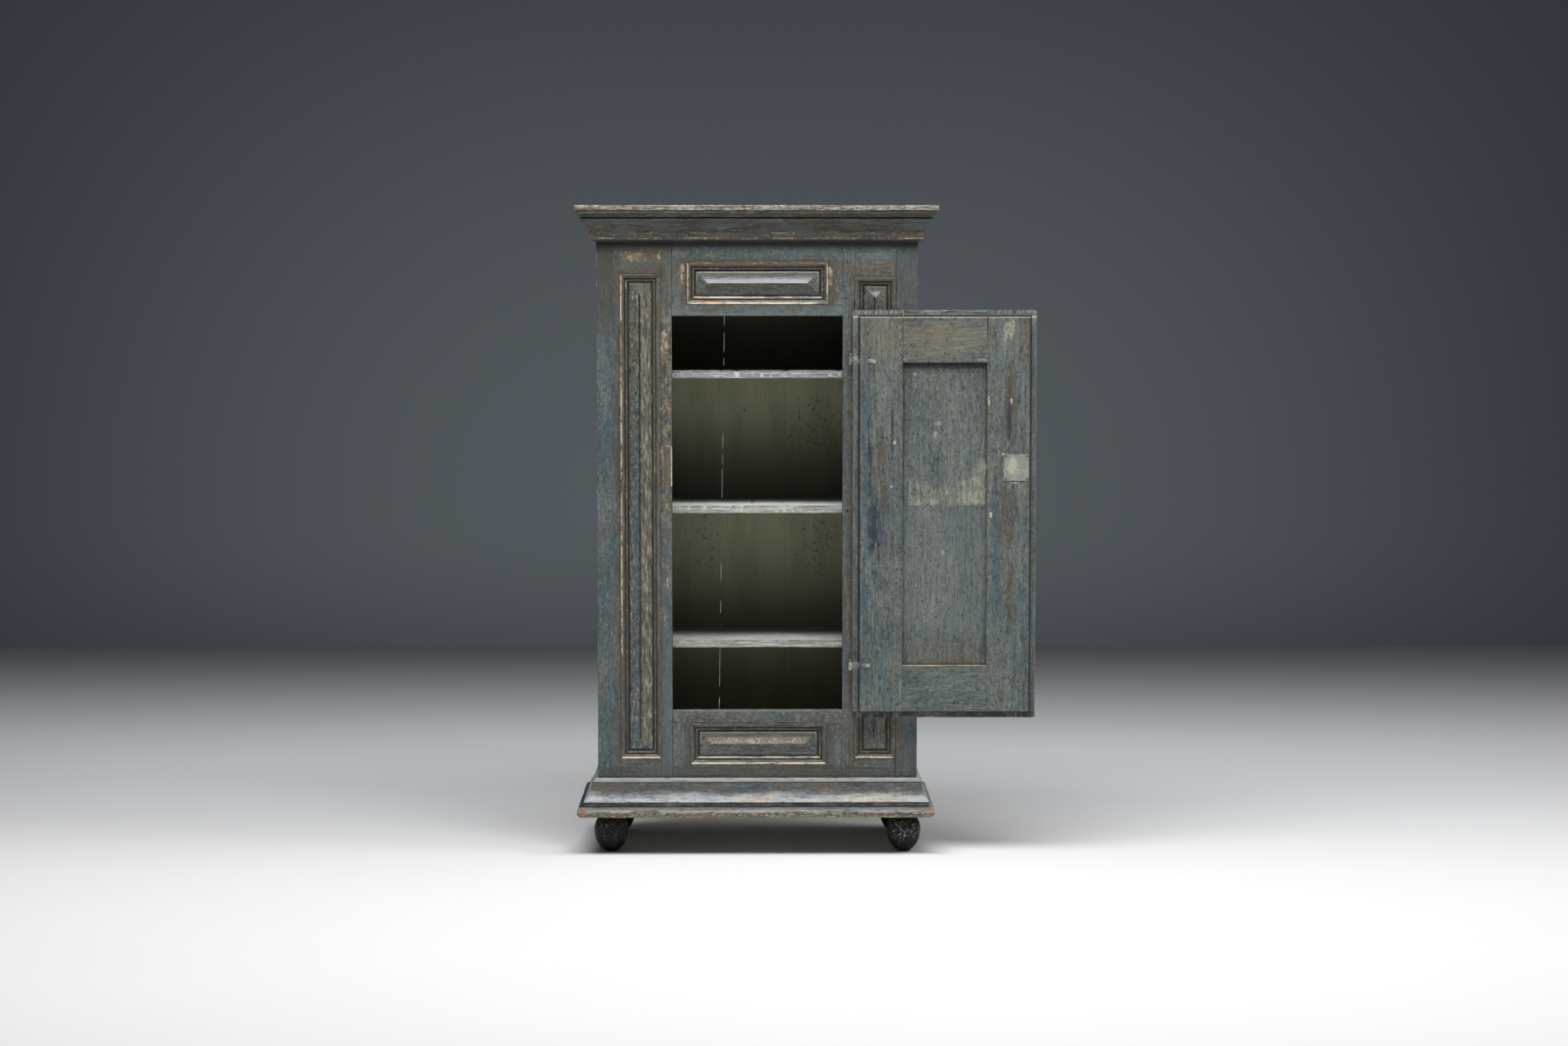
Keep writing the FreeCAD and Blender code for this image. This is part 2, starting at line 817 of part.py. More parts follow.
def strap_clinch(z, reach):
    """The end of the strap, bent flat on the inner face of the stile."""
    turned = hinge_x - reach + strap_thickness
    half = strap_height / 2
    bar = block(
        turned - clinch_length, turned, door_rear, door_rear + strap_thickness, z - half, z + half,
    )
    shown = [
        edge for edge in bar.Edges
        if all(vertex.Y > door_rear + strap_thickness / 2 for vertex in edge.Vertexes)
    ]
    return bar.makeFillet(strap_rounding, shown)


def strap_neck(z):
    """The short neck between the leaf and the eye."""
    half = hinge_eye_height / 2
    inner = hinge_x - hinge_barrel_radius - neck_wall - leaf_skew
    low = hinge_y + hinge_pin_radius + neck_wall
    return block(inner, hinge_x, low, low + strap_thickness, z - half, z + half)


def hinge_eye(z, reach, drop):
    """The door's half of a hinge: an eye round the pin, on a strap clinched behind the stile."""
    low = Vector(hinge_x, hinge_y, z - hinge_eye_height / 2)
    barrel = Part.makeCylinder(hinge_barrel_radius, hinge_eye_height, low)
    bore = Part.makeCylinder(hinge_pin_radius + hinge_pin_clearance, hinge_eye_height, low)
    bars = [strap_neck(z), strap_leaf(z), strap_shank(z - drop, reach), strap_clinch(z - drop, reach)]
    return barrel.fuse(bars).removeSplitter().cut(bore)


def hinges(door_parts):
    """Two hinges, with their seats in the frame and in the door."""
    for name, (z, reach, drop) in hinge_places.items():
        pintle = hinge_pintle(z)
        parts["hinge_pintle_" + name] = pintle
        parts["inner_stile_right"] = parts["inner_stile_right"].cut(pintle)
        seats = [strap_neck(z), strap_leaf(z), strap_shank(z - drop, reach)]
        door_parts["door_hinge_stile"] = cut_all(door_parts["door_hinge_stile"], seats)
        door_parts["hinge_eye_" + name] = hinge_eye(z, reach, drop)


def keyhole_tool():
    """The keyhole in its plate. The stile behind is plugged, apart from a shallow recess."""
    mouth = door_front - overrun
    depth = overrun + keyhole_depth
    centre = Vector(keyhole_x, mouth, keyhole_height)
    hole = Part.makeCylinder(keyhole_radius, depth, centre, Vector(0, 1, 0))
    slot = block(
        keyhole_x - keyhole_slot_width / 2, keyhole_x + keyhole_slot_width / 2,
        mouth, mouth + depth, keyhole_height - keyhole_slot_length, keyhole_height,
    )
    return hole.fuse(slot).removeSplitter()


def escutcheon():
    """The keyhole plate on the door's outer face."""
    halves = []
    for side in sides.values():

        def place(across, up):
            return Vector(
                keyhole_x + side * across, door_front,
                keyhole_height - escutcheon_height / 2 + up,
            )

        face = outline_face(escutcheon_outline_shares, escutcheon_width / 2, escutcheon_height, place)
        halves.append(face.extrude(Vector(0, -escutcheon_thickness, 0)))
    return halves[0].fuse(halves[1]).removeSplitter()


def cover_nail(x, z):
    """A flat-headed nail, driven from inside through the cover plate."""
    seat = door_rear + cover_thickness
    head = Part.makeCylinder(nail_head_radius, nail_head_thickness, Vector(x, seat, z), Vector(0, 1, 0))
    tip = Vector(x, seat - nail_length, z)
    shank = Part.makeCylinder(nail_shank_radius, nail_length, tip, Vector(0, 1, 0))
    return head.fuse(shank).removeSplitter()


def lock_side(door_parts):
    """The keyhole, its plate outside and the nailed cover plate over the old lock inside."""
    keyhole = keyhole_tool()
    cover_low = keyhole_height - cover_height / 2
    cover = block(
        cover_left, cover_left + cover_width, door_rear, door_rear + cover_thickness,
        cover_low, cover_low + cover_height,
    )
    peep = Part.makeCylinder(
        cover_hole_radius, cover_thickness + overrun,
        Vector(keyhole_x, door_rear, keyhole_height), Vector(0, 1, 0),
    )
    nails = [
        cover_nail(x, z)
        for x in (cover_left + nail_inset, cover_left + cover_width - nail_inset)
        for z in (cover_low + nail_inset, cover_low + cover_height - nail_inset)
    ]
    door_parts["lock_cover_plate"] = cut_all(cover, [peep] + nails)
    door_parts["cover_plate_nails"] = Part.makeCompound(nails)
    door_parts["door_lock_stile"] = cut_all(door_parts["door_lock_stile"], [keyhole] + nails)
    door_parts["keyhole_plate"] = escutcheon().cut(keyhole)


def door():
    """The door with its fittings, swung open on its hinges to the rest angle."""
    door_parts = door_frame()
    hinges(door_parts)
    lock_side(door_parts)
    for name, shape in door_parts.items():
        swung = shape.copy()
        swung.rotate(Vector(hinge_x, hinge_y, 0), Vector(0, 0, 1), door_rest_angle)
        parts[name] = swung


def build():
    """Make every piece of the cupboard."""
    side_bays()
    centre_bays()
    mended_stile()
    side_boards()
    back_boards()
    top_and_floor()
    shelves()
    courses()
    feet()
    door()


build()
os.makedirs("parts", exist_ok=True)
for name, shape in sorted(parts.items()):
    shape.exportStep("parts/%s.step" % name)
print(len(parts), "nodes")
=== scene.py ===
import json
from math import radians

import bmesh
import bpy
from mathutils import Matrix, Vector, noise

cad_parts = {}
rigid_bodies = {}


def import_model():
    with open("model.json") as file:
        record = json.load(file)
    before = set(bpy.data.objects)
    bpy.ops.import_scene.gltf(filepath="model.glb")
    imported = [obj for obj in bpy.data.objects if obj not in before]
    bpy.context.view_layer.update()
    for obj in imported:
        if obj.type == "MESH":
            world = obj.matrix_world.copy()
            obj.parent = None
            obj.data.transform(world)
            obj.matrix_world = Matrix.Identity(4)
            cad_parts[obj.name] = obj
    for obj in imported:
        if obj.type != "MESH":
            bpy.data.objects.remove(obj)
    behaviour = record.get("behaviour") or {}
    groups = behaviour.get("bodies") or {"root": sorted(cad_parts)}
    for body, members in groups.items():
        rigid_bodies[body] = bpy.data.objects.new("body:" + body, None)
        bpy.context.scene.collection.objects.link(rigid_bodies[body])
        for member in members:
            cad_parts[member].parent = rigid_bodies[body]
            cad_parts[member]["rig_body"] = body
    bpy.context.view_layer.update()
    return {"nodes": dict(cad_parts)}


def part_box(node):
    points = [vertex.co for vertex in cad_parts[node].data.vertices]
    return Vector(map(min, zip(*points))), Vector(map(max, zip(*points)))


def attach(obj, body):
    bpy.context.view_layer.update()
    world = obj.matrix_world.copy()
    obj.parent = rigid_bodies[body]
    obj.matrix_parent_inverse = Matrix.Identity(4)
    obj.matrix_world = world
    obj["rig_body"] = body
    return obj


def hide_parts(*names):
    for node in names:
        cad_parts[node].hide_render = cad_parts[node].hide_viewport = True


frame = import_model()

# Face frame
# Stiles, rails and muntins of softwood, mortised together flush in front, under old blue-grey paint.
# The paint has gone brown round the panels and has rubbed through to a cream undercoat at the arrises.
# A piece let into the left inner stile fills the place where the old lock struck.


def srgb(red, green, blue):
    """A colour given in the 0 to 255 levels of a picture, as the shader's linear colour."""
    levels = [level / 255 for level in (red, green, blue)]
    return [
        level / 12.92 if level <= 0.04045 else ((level + 0.055) / 1.055) ** 2.4
        for level in levels
    ] + [1.0]


# Tones in the 0 to 255 levels of a picture
grey_blue = (94, 104, 103)
slate_blue = (72, 91, 97)
brown_grey = (100, 93, 82)
cream = (198, 190, 166)
ochre = (146, 126, 94)
bare_brown = (74, 63, 50)
# The darkest tone serves for dirt, and also as the tone of painted shade
grime_and_shade = (34, 32, 29)
pale_paint = (150, 160, 160)


class Reading:
    """A number that varies over a surface. Arithmetic on it adds nodes to its finish."""

    def __init__(self, finish, socket):
        self.finish = finish
        self.socket = socket

    def math(self, operation, first, second):
        return self.finish.node("ShaderNodeMath", {"operation": operation}, {0: first, 1: second})

    def __add__(self, other):
        return self.math("ADD", self, other)

    def __sub__(self, other):
        return self.math("SUBTRACT", self, other)

    def __rsub__(self, other):
        return self.math("SUBTRACT", other, self)

    def __mul__(self, other):
        return self.math("MULTIPLY", self, other)

    __radd__ = __add__
    __rmul__ = __mul__

    def __abs__(self):
        return self.math("ABSOLUTE", self, 0.0)

    def least(self, other):
        return self.math("MINIMUM", self, other)

    def greatest(self, other):
        return self.math("MAXIMUM", self, other)

    def ramp(self, start, end):
        """0 at the start and 1 at the end, smoothly between them."""
        return self.finish.node(
            "ShaderNodeMapRange", {"interpolation_type": "SMOOTHSTEP"},
            {"Value": self, "From Min": start, "From Max": end},
        )

    def near(self, place, core, fade):
        """1 within core of a place, and 0 from fade beyond that."""
        return abs(self - place).ramp(core + fade, core)

    def between(self, low, high, fade):
        """1 from low to high, and 0 from fade outside them."""
        return self.near((low + high) / 2, (high - low) / 2, fade)


def any_of(*masks):
    """The greatest of several masks."""
    joined = masks[0]
    for mask in masks[1:]:
        joined = joined.greatest(mask)
    return joined


class Finish:
    """A surface finish: the place on the piece in metres as x, y and z, and the colour laid so far."""

    def __init__(self, name, seed, ground=grey_blue):
        self.material = bpy.data.materials.new(name)
        self.material.use_nodes = True
        self.tree = self.material.node_tree
        self.tree.nodes.clear()
        self.seed = seed
        self.colour = srgb(*ground)
        self.place = self.node("ShaderNodeTexCoord", output="Object")
        split = self.node("ShaderNodeSeparateXYZ", None, {0: self.place})
        self.x, self.y, self.z = [Reading(self, out) for out in split.socket.node.outputs]
        self.ragged = self.noise((0.012, 0.012, 0.017), 7.0, 0.8)

    def node(self, kind, settings=None, sockets=None, output=0):
        """A new node: its settings are made first, then its sockets are set or linked."""
        new = self.tree.nodes.new(kind)
        for name, value in (settings or {}).items():
            setattr(new, name, value)
        for name, value in (sockets or {}).items():
            if isinstance(value, Reading):
                self.tree.links.new(value.socket, new.inputs[name])
            else:
                new.inputs[name].default_value = value
        return Reading(self, new.outputs[output]) if new.outputs else None

    def noise(self, size, detail=4.0, roughness=0.6):
        """Cloudy variation about 0.5, with patches of a size in metres along X, Y and Z."""
        self.seed += 1
        spot = self.node(
            "ShaderNodeMapping", None,
            {
                "Vector": self.place,
                "Location": (self.seed * 3.7, self.seed * 5.3, self.seed * 7.9),
                "Scale": [1 / length for length in size],
            },
        )
        return self.node(
            "ShaderNodeTexNoise", None,
            {"Vector": spot, "Scale": 1.0, "Detail": detail, "Roughness": roughness},
        )

    def patch(self, x, z, half_width, half_height, fray=2.2):
        """A ragged patch of the face, centred on x and z, that thins out from 1 to 0."""
        across = (self.x - x) * (1 / half_width)
        upright = (self.z - z) * (1 / half_height)
        reach = across * across + upright * upright + self.ragged * (2 * fray)
        return reach.ramp(1.5 + fray, 0.2 + fray)

    def patches(self, *places):
        """Several ragged patches as one mask."""
        return any_of(*[self.patch(*place) for place in places])

    def layer(self, under, over, mask):
        """One colour over another where the mask is 1."""
        factor, first, second, result = 0, 6, 7, 2
        return self.node(
            "ShaderNodeMix", {"data_type": "RGBA"},
            {factor: mask, first: under, second: over}, result,
        )

    def coat(self, tone, mask):
        """Lays a tone over the colour so far where the mask is 1."""
        self.colour = self.layer(self.colour, srgb(*tone), mask)

    def mottle(self, region, rows):
        """Coats inside a region, in rows of tone, noise, start and end of the noise, and strength."""
        for tone, cloud, start, end, strength in rows:
            self.coat(tone, region * cloud.ramp(start, end) * strength)

    def surface(self, roughness, height, depth, metallic=0.0, shine=0.5):
        """Closes the finish with its shader and returns the material."""
        relief = self.node("ShaderNodeBump", None, {"Height": height, "Distance": depth})
        shader = self.node(
            "ShaderNodeBsdfPrincipled", None,
            {"Base Color": self.colour, "Roughness": roughness, "Metallic": metallic,
             "Specular IOR Level": shine, "Normal": relief},
        )
        self.node("ShaderNodeOutputMaterial", None, {"Surface": shader})
        return self.material


grain_sizes = {
    "z": lambda width, length: (width, width, length),
    "x": lambda width, length: (length, width, width),
    "y": lambda width, length: (width, length, width),
}


def old_paint(finish, grain, cool, warm, bite=1.0):
    """Lays old paint that shows the grain under it, and returns its relief."""
    size = grain_sizes[grain]
    clouds = finish.noise(size(0.07, 0.2), 6.0, 0.65)
    stains = finish.noise(size(0.045, 0.13), 6.0, 0.7)
    ribs = finish.noise(size(0.0042, 0.055), 6.0, 0.75)
    pores = finish.noise(size(0.0024, 0.006), 3.0, 0.6)
    cracks = abs(finish.noise(size(0.011, 0.15), 6.0, 0.7) - 0.5)
    crust = finish.noise(size(0.011, 0.028), 7.0, 0.8)
    finish.coat(slate_blue, clouds.ramp(0.42, 0.6) * cool)
    finish.coat(brown_grey, stains.ramp(0.42, 0.58) * warm)
    finish.coat(bare_brown, stains.ramp(0.54, 0.7) * ribs.ramp(0.45, 0.6) * warm * 0.6)
    finish.coat(pale_paint, ribs.ramp(0.5, 0.7) * 0.34 * bite)
    finish.coat(pale_paint, crust.ramp(0.55, 0.63) * 0.36 * bite)
    finish.coat(grime_and_shade, ribs.ramp(0.48, 0.32) * 0.42 * bite)
    finish.coat(grime_and_shade, crust.ramp(0.45, 0.36) * 0.48 * bite)
    lines = cracks.ramp(0.011, 0.002) * crust.ramp(0.42, 0.52)
    finish.coat(grime_and_shade, lines * 0.8)
    specks = pores.ramp(0.61, 0.67) * stains.ramp(0.42, 0.6)
    finish.coat(grime_and_shade, specks * 0.75)
    crumbs = finish.noise(size(0.0065, 0.01), 5.0, 0.85)
    finish.coat(grime_and_shade, crumbs.ramp(0.55, 0.6) * 0.58 * bite)
    finish.coat(pale_paint, crumbs.ramp(0.43, 0.385) * 0.5 * bite)
    flecks = pores.ramp(0.375, 0.33) * clouds.ramp(0.56, 0.42)
    finish.coat(cream, flecks * 0.5 * bite)
    return ribs * 0.6 + crust * 0.7 - crumbs * 0.5 - specks * 0.5 - lines * 0.6


def rub_through(finish, amount, heart=0.95, crumb=0.007):
    """Paint rubbed off to brown wood and, at the heart of the rubbed places, to a cream undercoat."""
    crumbs = finish.noise((crumb, crumb, crumb * 1.7), 7.0, 0.8)
    runs = finish.noise((0.04, 0.04, 0.05), 4.0)
    wear = (amount + crumbs * 1.7 + runs * 1.0 - 1.35) * amount.ramp(0.0, 0.12)
    finish.coat(bare_brown, wear.ramp(0.34, 0.5) * 0.75)
    finish.coat(ochre, wear.ramp(0.5, 0.6) * 0.85)
    finish.coat(cream, wear.ramp(0.62, 0.76) * heart)


def beyond(finish, low, high):
    """How far a place on the face lies outside a box, across and upright."""
    across = abs(finish.x - (low.x + high.x) / 2) - (high.x - low.x) / 2
    upright = abs(finish.z - (low.z + high.z) / 2) - (high.z - low.z) / 2
    return across, upright


moulding_nodes = ["moulding_left", "moulding_right", "moulding_top", "moulding_bottom"]
case_low, case_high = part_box("outer_stile_left")[0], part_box("outer_stile_right")[1]
opening_low = Vector((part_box("inner_stile_left")[1].x, case_low.y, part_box("sill_rail")[1].z))
opening_high = Vector((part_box("inner_stile_right")[0].x, case_low.y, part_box("head_rail")[0].z))
joint_places = [
    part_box("outer_stile_left")[1].x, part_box("inner_stile_left")[0].x, opening_low.x,
    opening_high.x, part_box("inner_stile_right")[1].x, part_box("outer_stile_right")[0].x,
]
frieze_low, frieze_high = 1.583, 1.622
cornice_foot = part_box("cornice_front")[0].z
plinth_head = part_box("plinth_front")[1].z
# Ragged places where the paint has come off: x, z, half width and half height
rubbed_places = [
    (-0.256, 1.592, 0.012, 0.022), (0.36, 1.598, 0.008, 0.016), (-0.243, 1.26, 0.008, 0.015),
    (-0.24, 1.2, 0.012, 0.02), (-0.233, 1.13, 0.009, 0.016), (-0.245, 1.345, 0.013, 0.05),
    (-0.25, 1.035, 0.004, 0.07), (-0.238, 0.925, 0.011, 0.024), (-0.244, 0.835, 0.006, 0.012),
    (-0.238, 0.745, 0.004, 0.045), (-0.245, 0.628, 0.006, 0.014), (-0.318, 1.586, 0.055, 0.016, 4.0),
    (-0.197, 1.54, 0.006, 0.04), (0.193, 1.53, 0.007, 0.035), (0.044, 1.5985, 0.022, 0.006),
    (-0.13, 1.59, 0.022, 0.007),
]


def frame_paint(name, grain, seed):
    """The face frame's paint, browned round the panels, rubbed at the arrises, with painted shadow under
    the cornice.
    """
    finish = Finish(name, seed)
    x, z = finish.x, finish.z
    high_up = z.ramp(1.34, 1.5)
    beside_panels = abs(x).between(0.1, 0.335, 0.03)
    warm = (high_up * 0.6 + beside_panels * 0.45 + 0.25).least(1.0)
    relief = old_paint(finish, grain, 1.15 - warm * 0.75, warm)
    frieze = z.between(frieze_low, frieze_high, 0.012)
    teal = abs(x - 0.06).ramp(0.3, 0.16).greatest(x.near(0.33, 0.03, 0.03))
    finish.coat((92, 114, 120), frieze * teal * 0.6)
    blue_rail = z.between(opening_high.z, opening_high.z + 0.034, 0.005) * abs(x).ramp(0.25, 0.21)
    finish.coat((106, 124, 128), blue_rail * finish.ragged.ramp(0.38, 0.56) * 0.75)
    scabby = z.between(opening_low.z - 0.028, opening_low.z, 0.004) * abs(x).ramp(0.25, 0.23)
    scabby = scabby.greatest(frieze)
    finish.coat((148, 154, 148), scabby * finish.ragged.ramp(0.545, 0.585) * 0.55)
    finish.coat(grime_and_shade, scabby * finish.ragged.ramp(0.44, 0.41) * 0.35)
    dusk = z.ramp(1.4, 1.5) * x.ramp(0.355, 0.375)
    finish.coat((72, 82, 88), dusk * 0.6)
    finish.coat((74, 64, 54), frieze * x.ramp(-0.2, -0.28) * 0.5)
    brown_head = z.ramp(1.47, 1.55) * x.between(-0.352, -0.225, 0.02)
    finish.coat((96, 92, 83), brown_head * 0.5)
    umber = z.ramp(1.34, 1.46) * x.ramp(-0.372, -0.384)
    finish.coat((69, 69, 64), umber * 0.72)
    low_rail = z.ramp(0.236, 0.228).greatest(z.ramp(0.36, 0.3) * x.ramp(0.352, 0.372) * 0.8)
    finish.coat((58, 54, 48), low_rail * 0.45)
    edges = [beyond(finish, *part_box(node)) for node in moulding_nodes]
    round_panels = edges[0][0].greatest(edges[0][1])
    for across, upright in edges[1:]:
        round_panels = round_panels.least(across.greatest(upright))
    blotches = finish.noise((0.022, 0.022, 0.04), 6.0, 0.8)
    browned = round_panels.ramp(0.034, 0.0) * blotches.ramp(0.36, 0.54)
    finish.coat(bare_brown, browned * 0.62)
    finish.coat(ochre, browned * blotches.ramp(0.56, 0.64) * 0.5)
    finish.coat(grime_and_shade, round_panels.ramp(0.003, 0.0) * 0.7)
    by_opening = x.between(-0.262, -0.228, 0.003) * z.between(0.6, 1.42, 0.1)
    finish.mottle(by_opening, [
        ((150, 146, 130), blotches, 0.52, 0.57, 0.6),
        (grime_and_shade, blotches, 0.46, 0.41, 0.6),
    ])
    scabs = finish.noise((0.01, 0.01, 0.017), 7.0, 0.85)
    finish.mottle(by_opening, [
        ((60, 54, 46), scabs, 0.5, 0.535, 0.55),
        ((184, 174, 148), scabs, 0.56, 0.585, 0.75),
    ])
    cool_edge = x.between(-0.258, -0.228, 0.003) * z.ramp(0.96, 0.8)
    finish.coat((88, 102, 108), cool_edge * 0.55)
    rub_through(finish, finish.patches(*rubbed_places) * 0.62, 0.6, 0.0042)
    corner = abs(x).ramp(case_high.x - 0.008, case_high.x - 0.002)
    mouth = abs(x).near(opening_high.x, 0.0012, 0.006)
    mouth = mouth * z.between(opening_low.z, opening_high.z, 0.003)
    sill = z.near(opening_low.z, 0.0012, 0.003) * abs(x).ramp(0.232, 0.222)
    chips = finish.noise((0.012, 0.012, 0.005), 5.0, 0.8)
    finish.coat(pale_paint, sill * 0.7)
    sill_face = z.between(opening_low.z - 0.03, opening_low.z, 0.003) * abs(x).ramp(0.26, 0.22)
    finish.mottle(sill_face, [
        ((138, 142, 136), chips, 0.52, 0.6, 0.5),
        (grime_and_shade, chips, 0.42, 0.36, 0.6),
    ])
    rub_through(finish, any_of(corner * 0.9, mouth * 0.85, sill) * 0.42)
    # Painted shadow under the cornice, and a dark band just above the plinth
    shadow_under_cornice = z.ramp(cornice_foot - 0.034, cornice_foot - 0.006)
    finish.coat(grime_and_shade, shadow_under_cornice * 0.85)
    above_plinth = z.ramp(plinth_head + 0.007, plinth_head)
    finish.coat(grime_and_shade, above_plinth * 0.8)
    joints = any_of(*[x.near(place, 0.0003, 0.0009) for place in joint_places])
    finish.coat(grime_and_shade, joints * blotches.ramp(0.3, 0.48) * 0.75)
    return finish.surface(0.42 + blotches * 0.22, relief, 0.0007)


weld_distance = 1e-6
smooth_angle = radians(32)


def put_in_scene(name, data):
    """A new object, linked to the scene."""
    piece = bpy.data.objects.new(name, data)
    bpy.context.scene.collection.objects.link(piece)
    return piece


def weathered(node, finish, cuts, waver=0.0005, chip=0.0, chip_length=0.012, torn=None):
    """A copy of a CAD piece whose arrises and faces waver, as hand-planed wood does after long use."""
    work = bmesh.new()
    work.from_mesh(frame["nodes"][node].data)
    bmesh.ops.remove_doubles(work, verts=work.verts, dist=weld_distance)
    bmesh.ops.dissolve_limit(work, angle_limit=radians(1), verts=work.verts, edges=work.edges)
    low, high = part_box(node)
    for axis, step in cuts.items():
        count = int((high[axis] - low[axis]) / step)
        normal = Vector([1.0 if number == axis else 0.0 for number in range(3)])
        for number in range(1, count):
            place = low + (high - low) * (number / count)
            everything = work.verts[:] + work.edges[:] + work.faces[:]
            bmesh.ops.bisect_plane(
                work, geom=everything, dist=weld_distance, plane_co=place, plane_no=normal)
    work.normal_update()
    arrises = set()
    for edge in work.edges:
        if len(edge.link_faces) == 2 and edge.calc_face_angle_signed() > smooth_angle:
            arrises.update(edge.verts)
    places = {}
    for vert in work.verts:
        move = noise.noise_vector(vert.co / 0.14) * waver
        if chip and vert in arrises:
            bite = max(0.0, noise.noise(vert.co / chip_length)) ** 2
            move -= vert.normal * (bite * chip * 4)
        if torn:
            move += torn(vert.co)
        places[vert] = [
            min(max(value, least), most)
            for value, least, most in zip(vert.co + move, low, high)
        ]
    for vert, place in places.items():
        vert.co = place
    bmesh.ops.triangulate(work, faces=work.faces)
    mesh = bpy.data.meshes.new("worn_" + node)
    work.to_mesh(mesh)
    work.free()
    if "custom_normal" in mesh.attributes:
        mesh.attributes.remove(mesh.attributes["custom_normal"])
    mesh.shade_smooth()
    mesh.set_sharp_from_angle(angle=smooth_angle)
    mesh.materials.clear()
    mesh.materials.append(finish)
    piece = put_in_scene("worn_" + node, mesh)
    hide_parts(node)
    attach(piece, frame["nodes"][node]["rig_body"])


def dress(node, finish):
    """Gives a CAD piece that keeps its shape its finish."""
    piece = frame["nodes"][node]
    piece.data.materials.clear()
    piece.data.materials.append(finish)


upright_paint = frame_paint("frame_paint_upright", "z", 10)
level_paint = frame_paint("frame_paint_level", "x", 40)
slice_length = 0.014
for side in ("left", "right"):
    for stile in ("outer_stile_", "inner_stile_"):
        weathered(stile + side, upright_paint, {2: slice_length}, chip=0.0012)
    dress("bay_rail_top_" + side, level_paint)
    dress("bay_rail_bottom_" + side, level_paint)
for name in ("top_muntins", "bottom_muntins"):
    dress(name, upright_paint)
for name in ("top_rail", "head_rail", "sill_rail", "bottom_rail"):
    weathered(name, level_paint, {0: slice_length}, chip=0.001)

let_in = Finish("let_in_wood", 70, (106, 99, 86))
let_in_relief = old_paint(let_in, "z", 0.1, 1.0)
let_in_low, let_in_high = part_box("stile_patch")
let_in_middle = (let_in_low.x + let_in_high.x) / 2
let_in_half = (let_in_high.x - let_in_low.x) / 2
let_in_edge = abs(let_in.x - let_in_middle).ramp(let_in_half - 0.006, let_in_half - 0.001)
let_in_side = let_in.x.ramp(let_in_low.x + 0.009, let_in_low.x + 0.002) * let_in.ragged.ramp(0.4, 0.52)
let_in.coat((176, 146, 98), let_in_side * 0.8)
rub_through(let_in, let_in_edge * 0.5 + 0.28)
weathered("stile_patch", let_in.surface(0.6, let_in_relief, 0.0008), {2: 0.008})

# Panels and their mouldings
# Four fielded softwood panels with coved sides stand in grooves of the frame. A run moulding, mitred at
# the corners, is nailed round each. Rubbed crests show cream and ochre, and grime fills the quirks.


def nearest_panel(finish):
    """How far a place lies inside the moulding round a panel, and whether its strip is upright."""
    inside = None
    for node in moulding_nodes:
        across, upright = beyond(finish, *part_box(node))
        depth = 0.0 - across.greatest(upright)
        if inside is None:
            inside, lean = depth, across - upright
        else:
            lean = lean + (across - upright - lean) * (depth - inside).ramp(0.0, 0.0001)
            inside = inside.greatest(depth)
    return inside, lean.ramp(-0.0004, 0.0004)


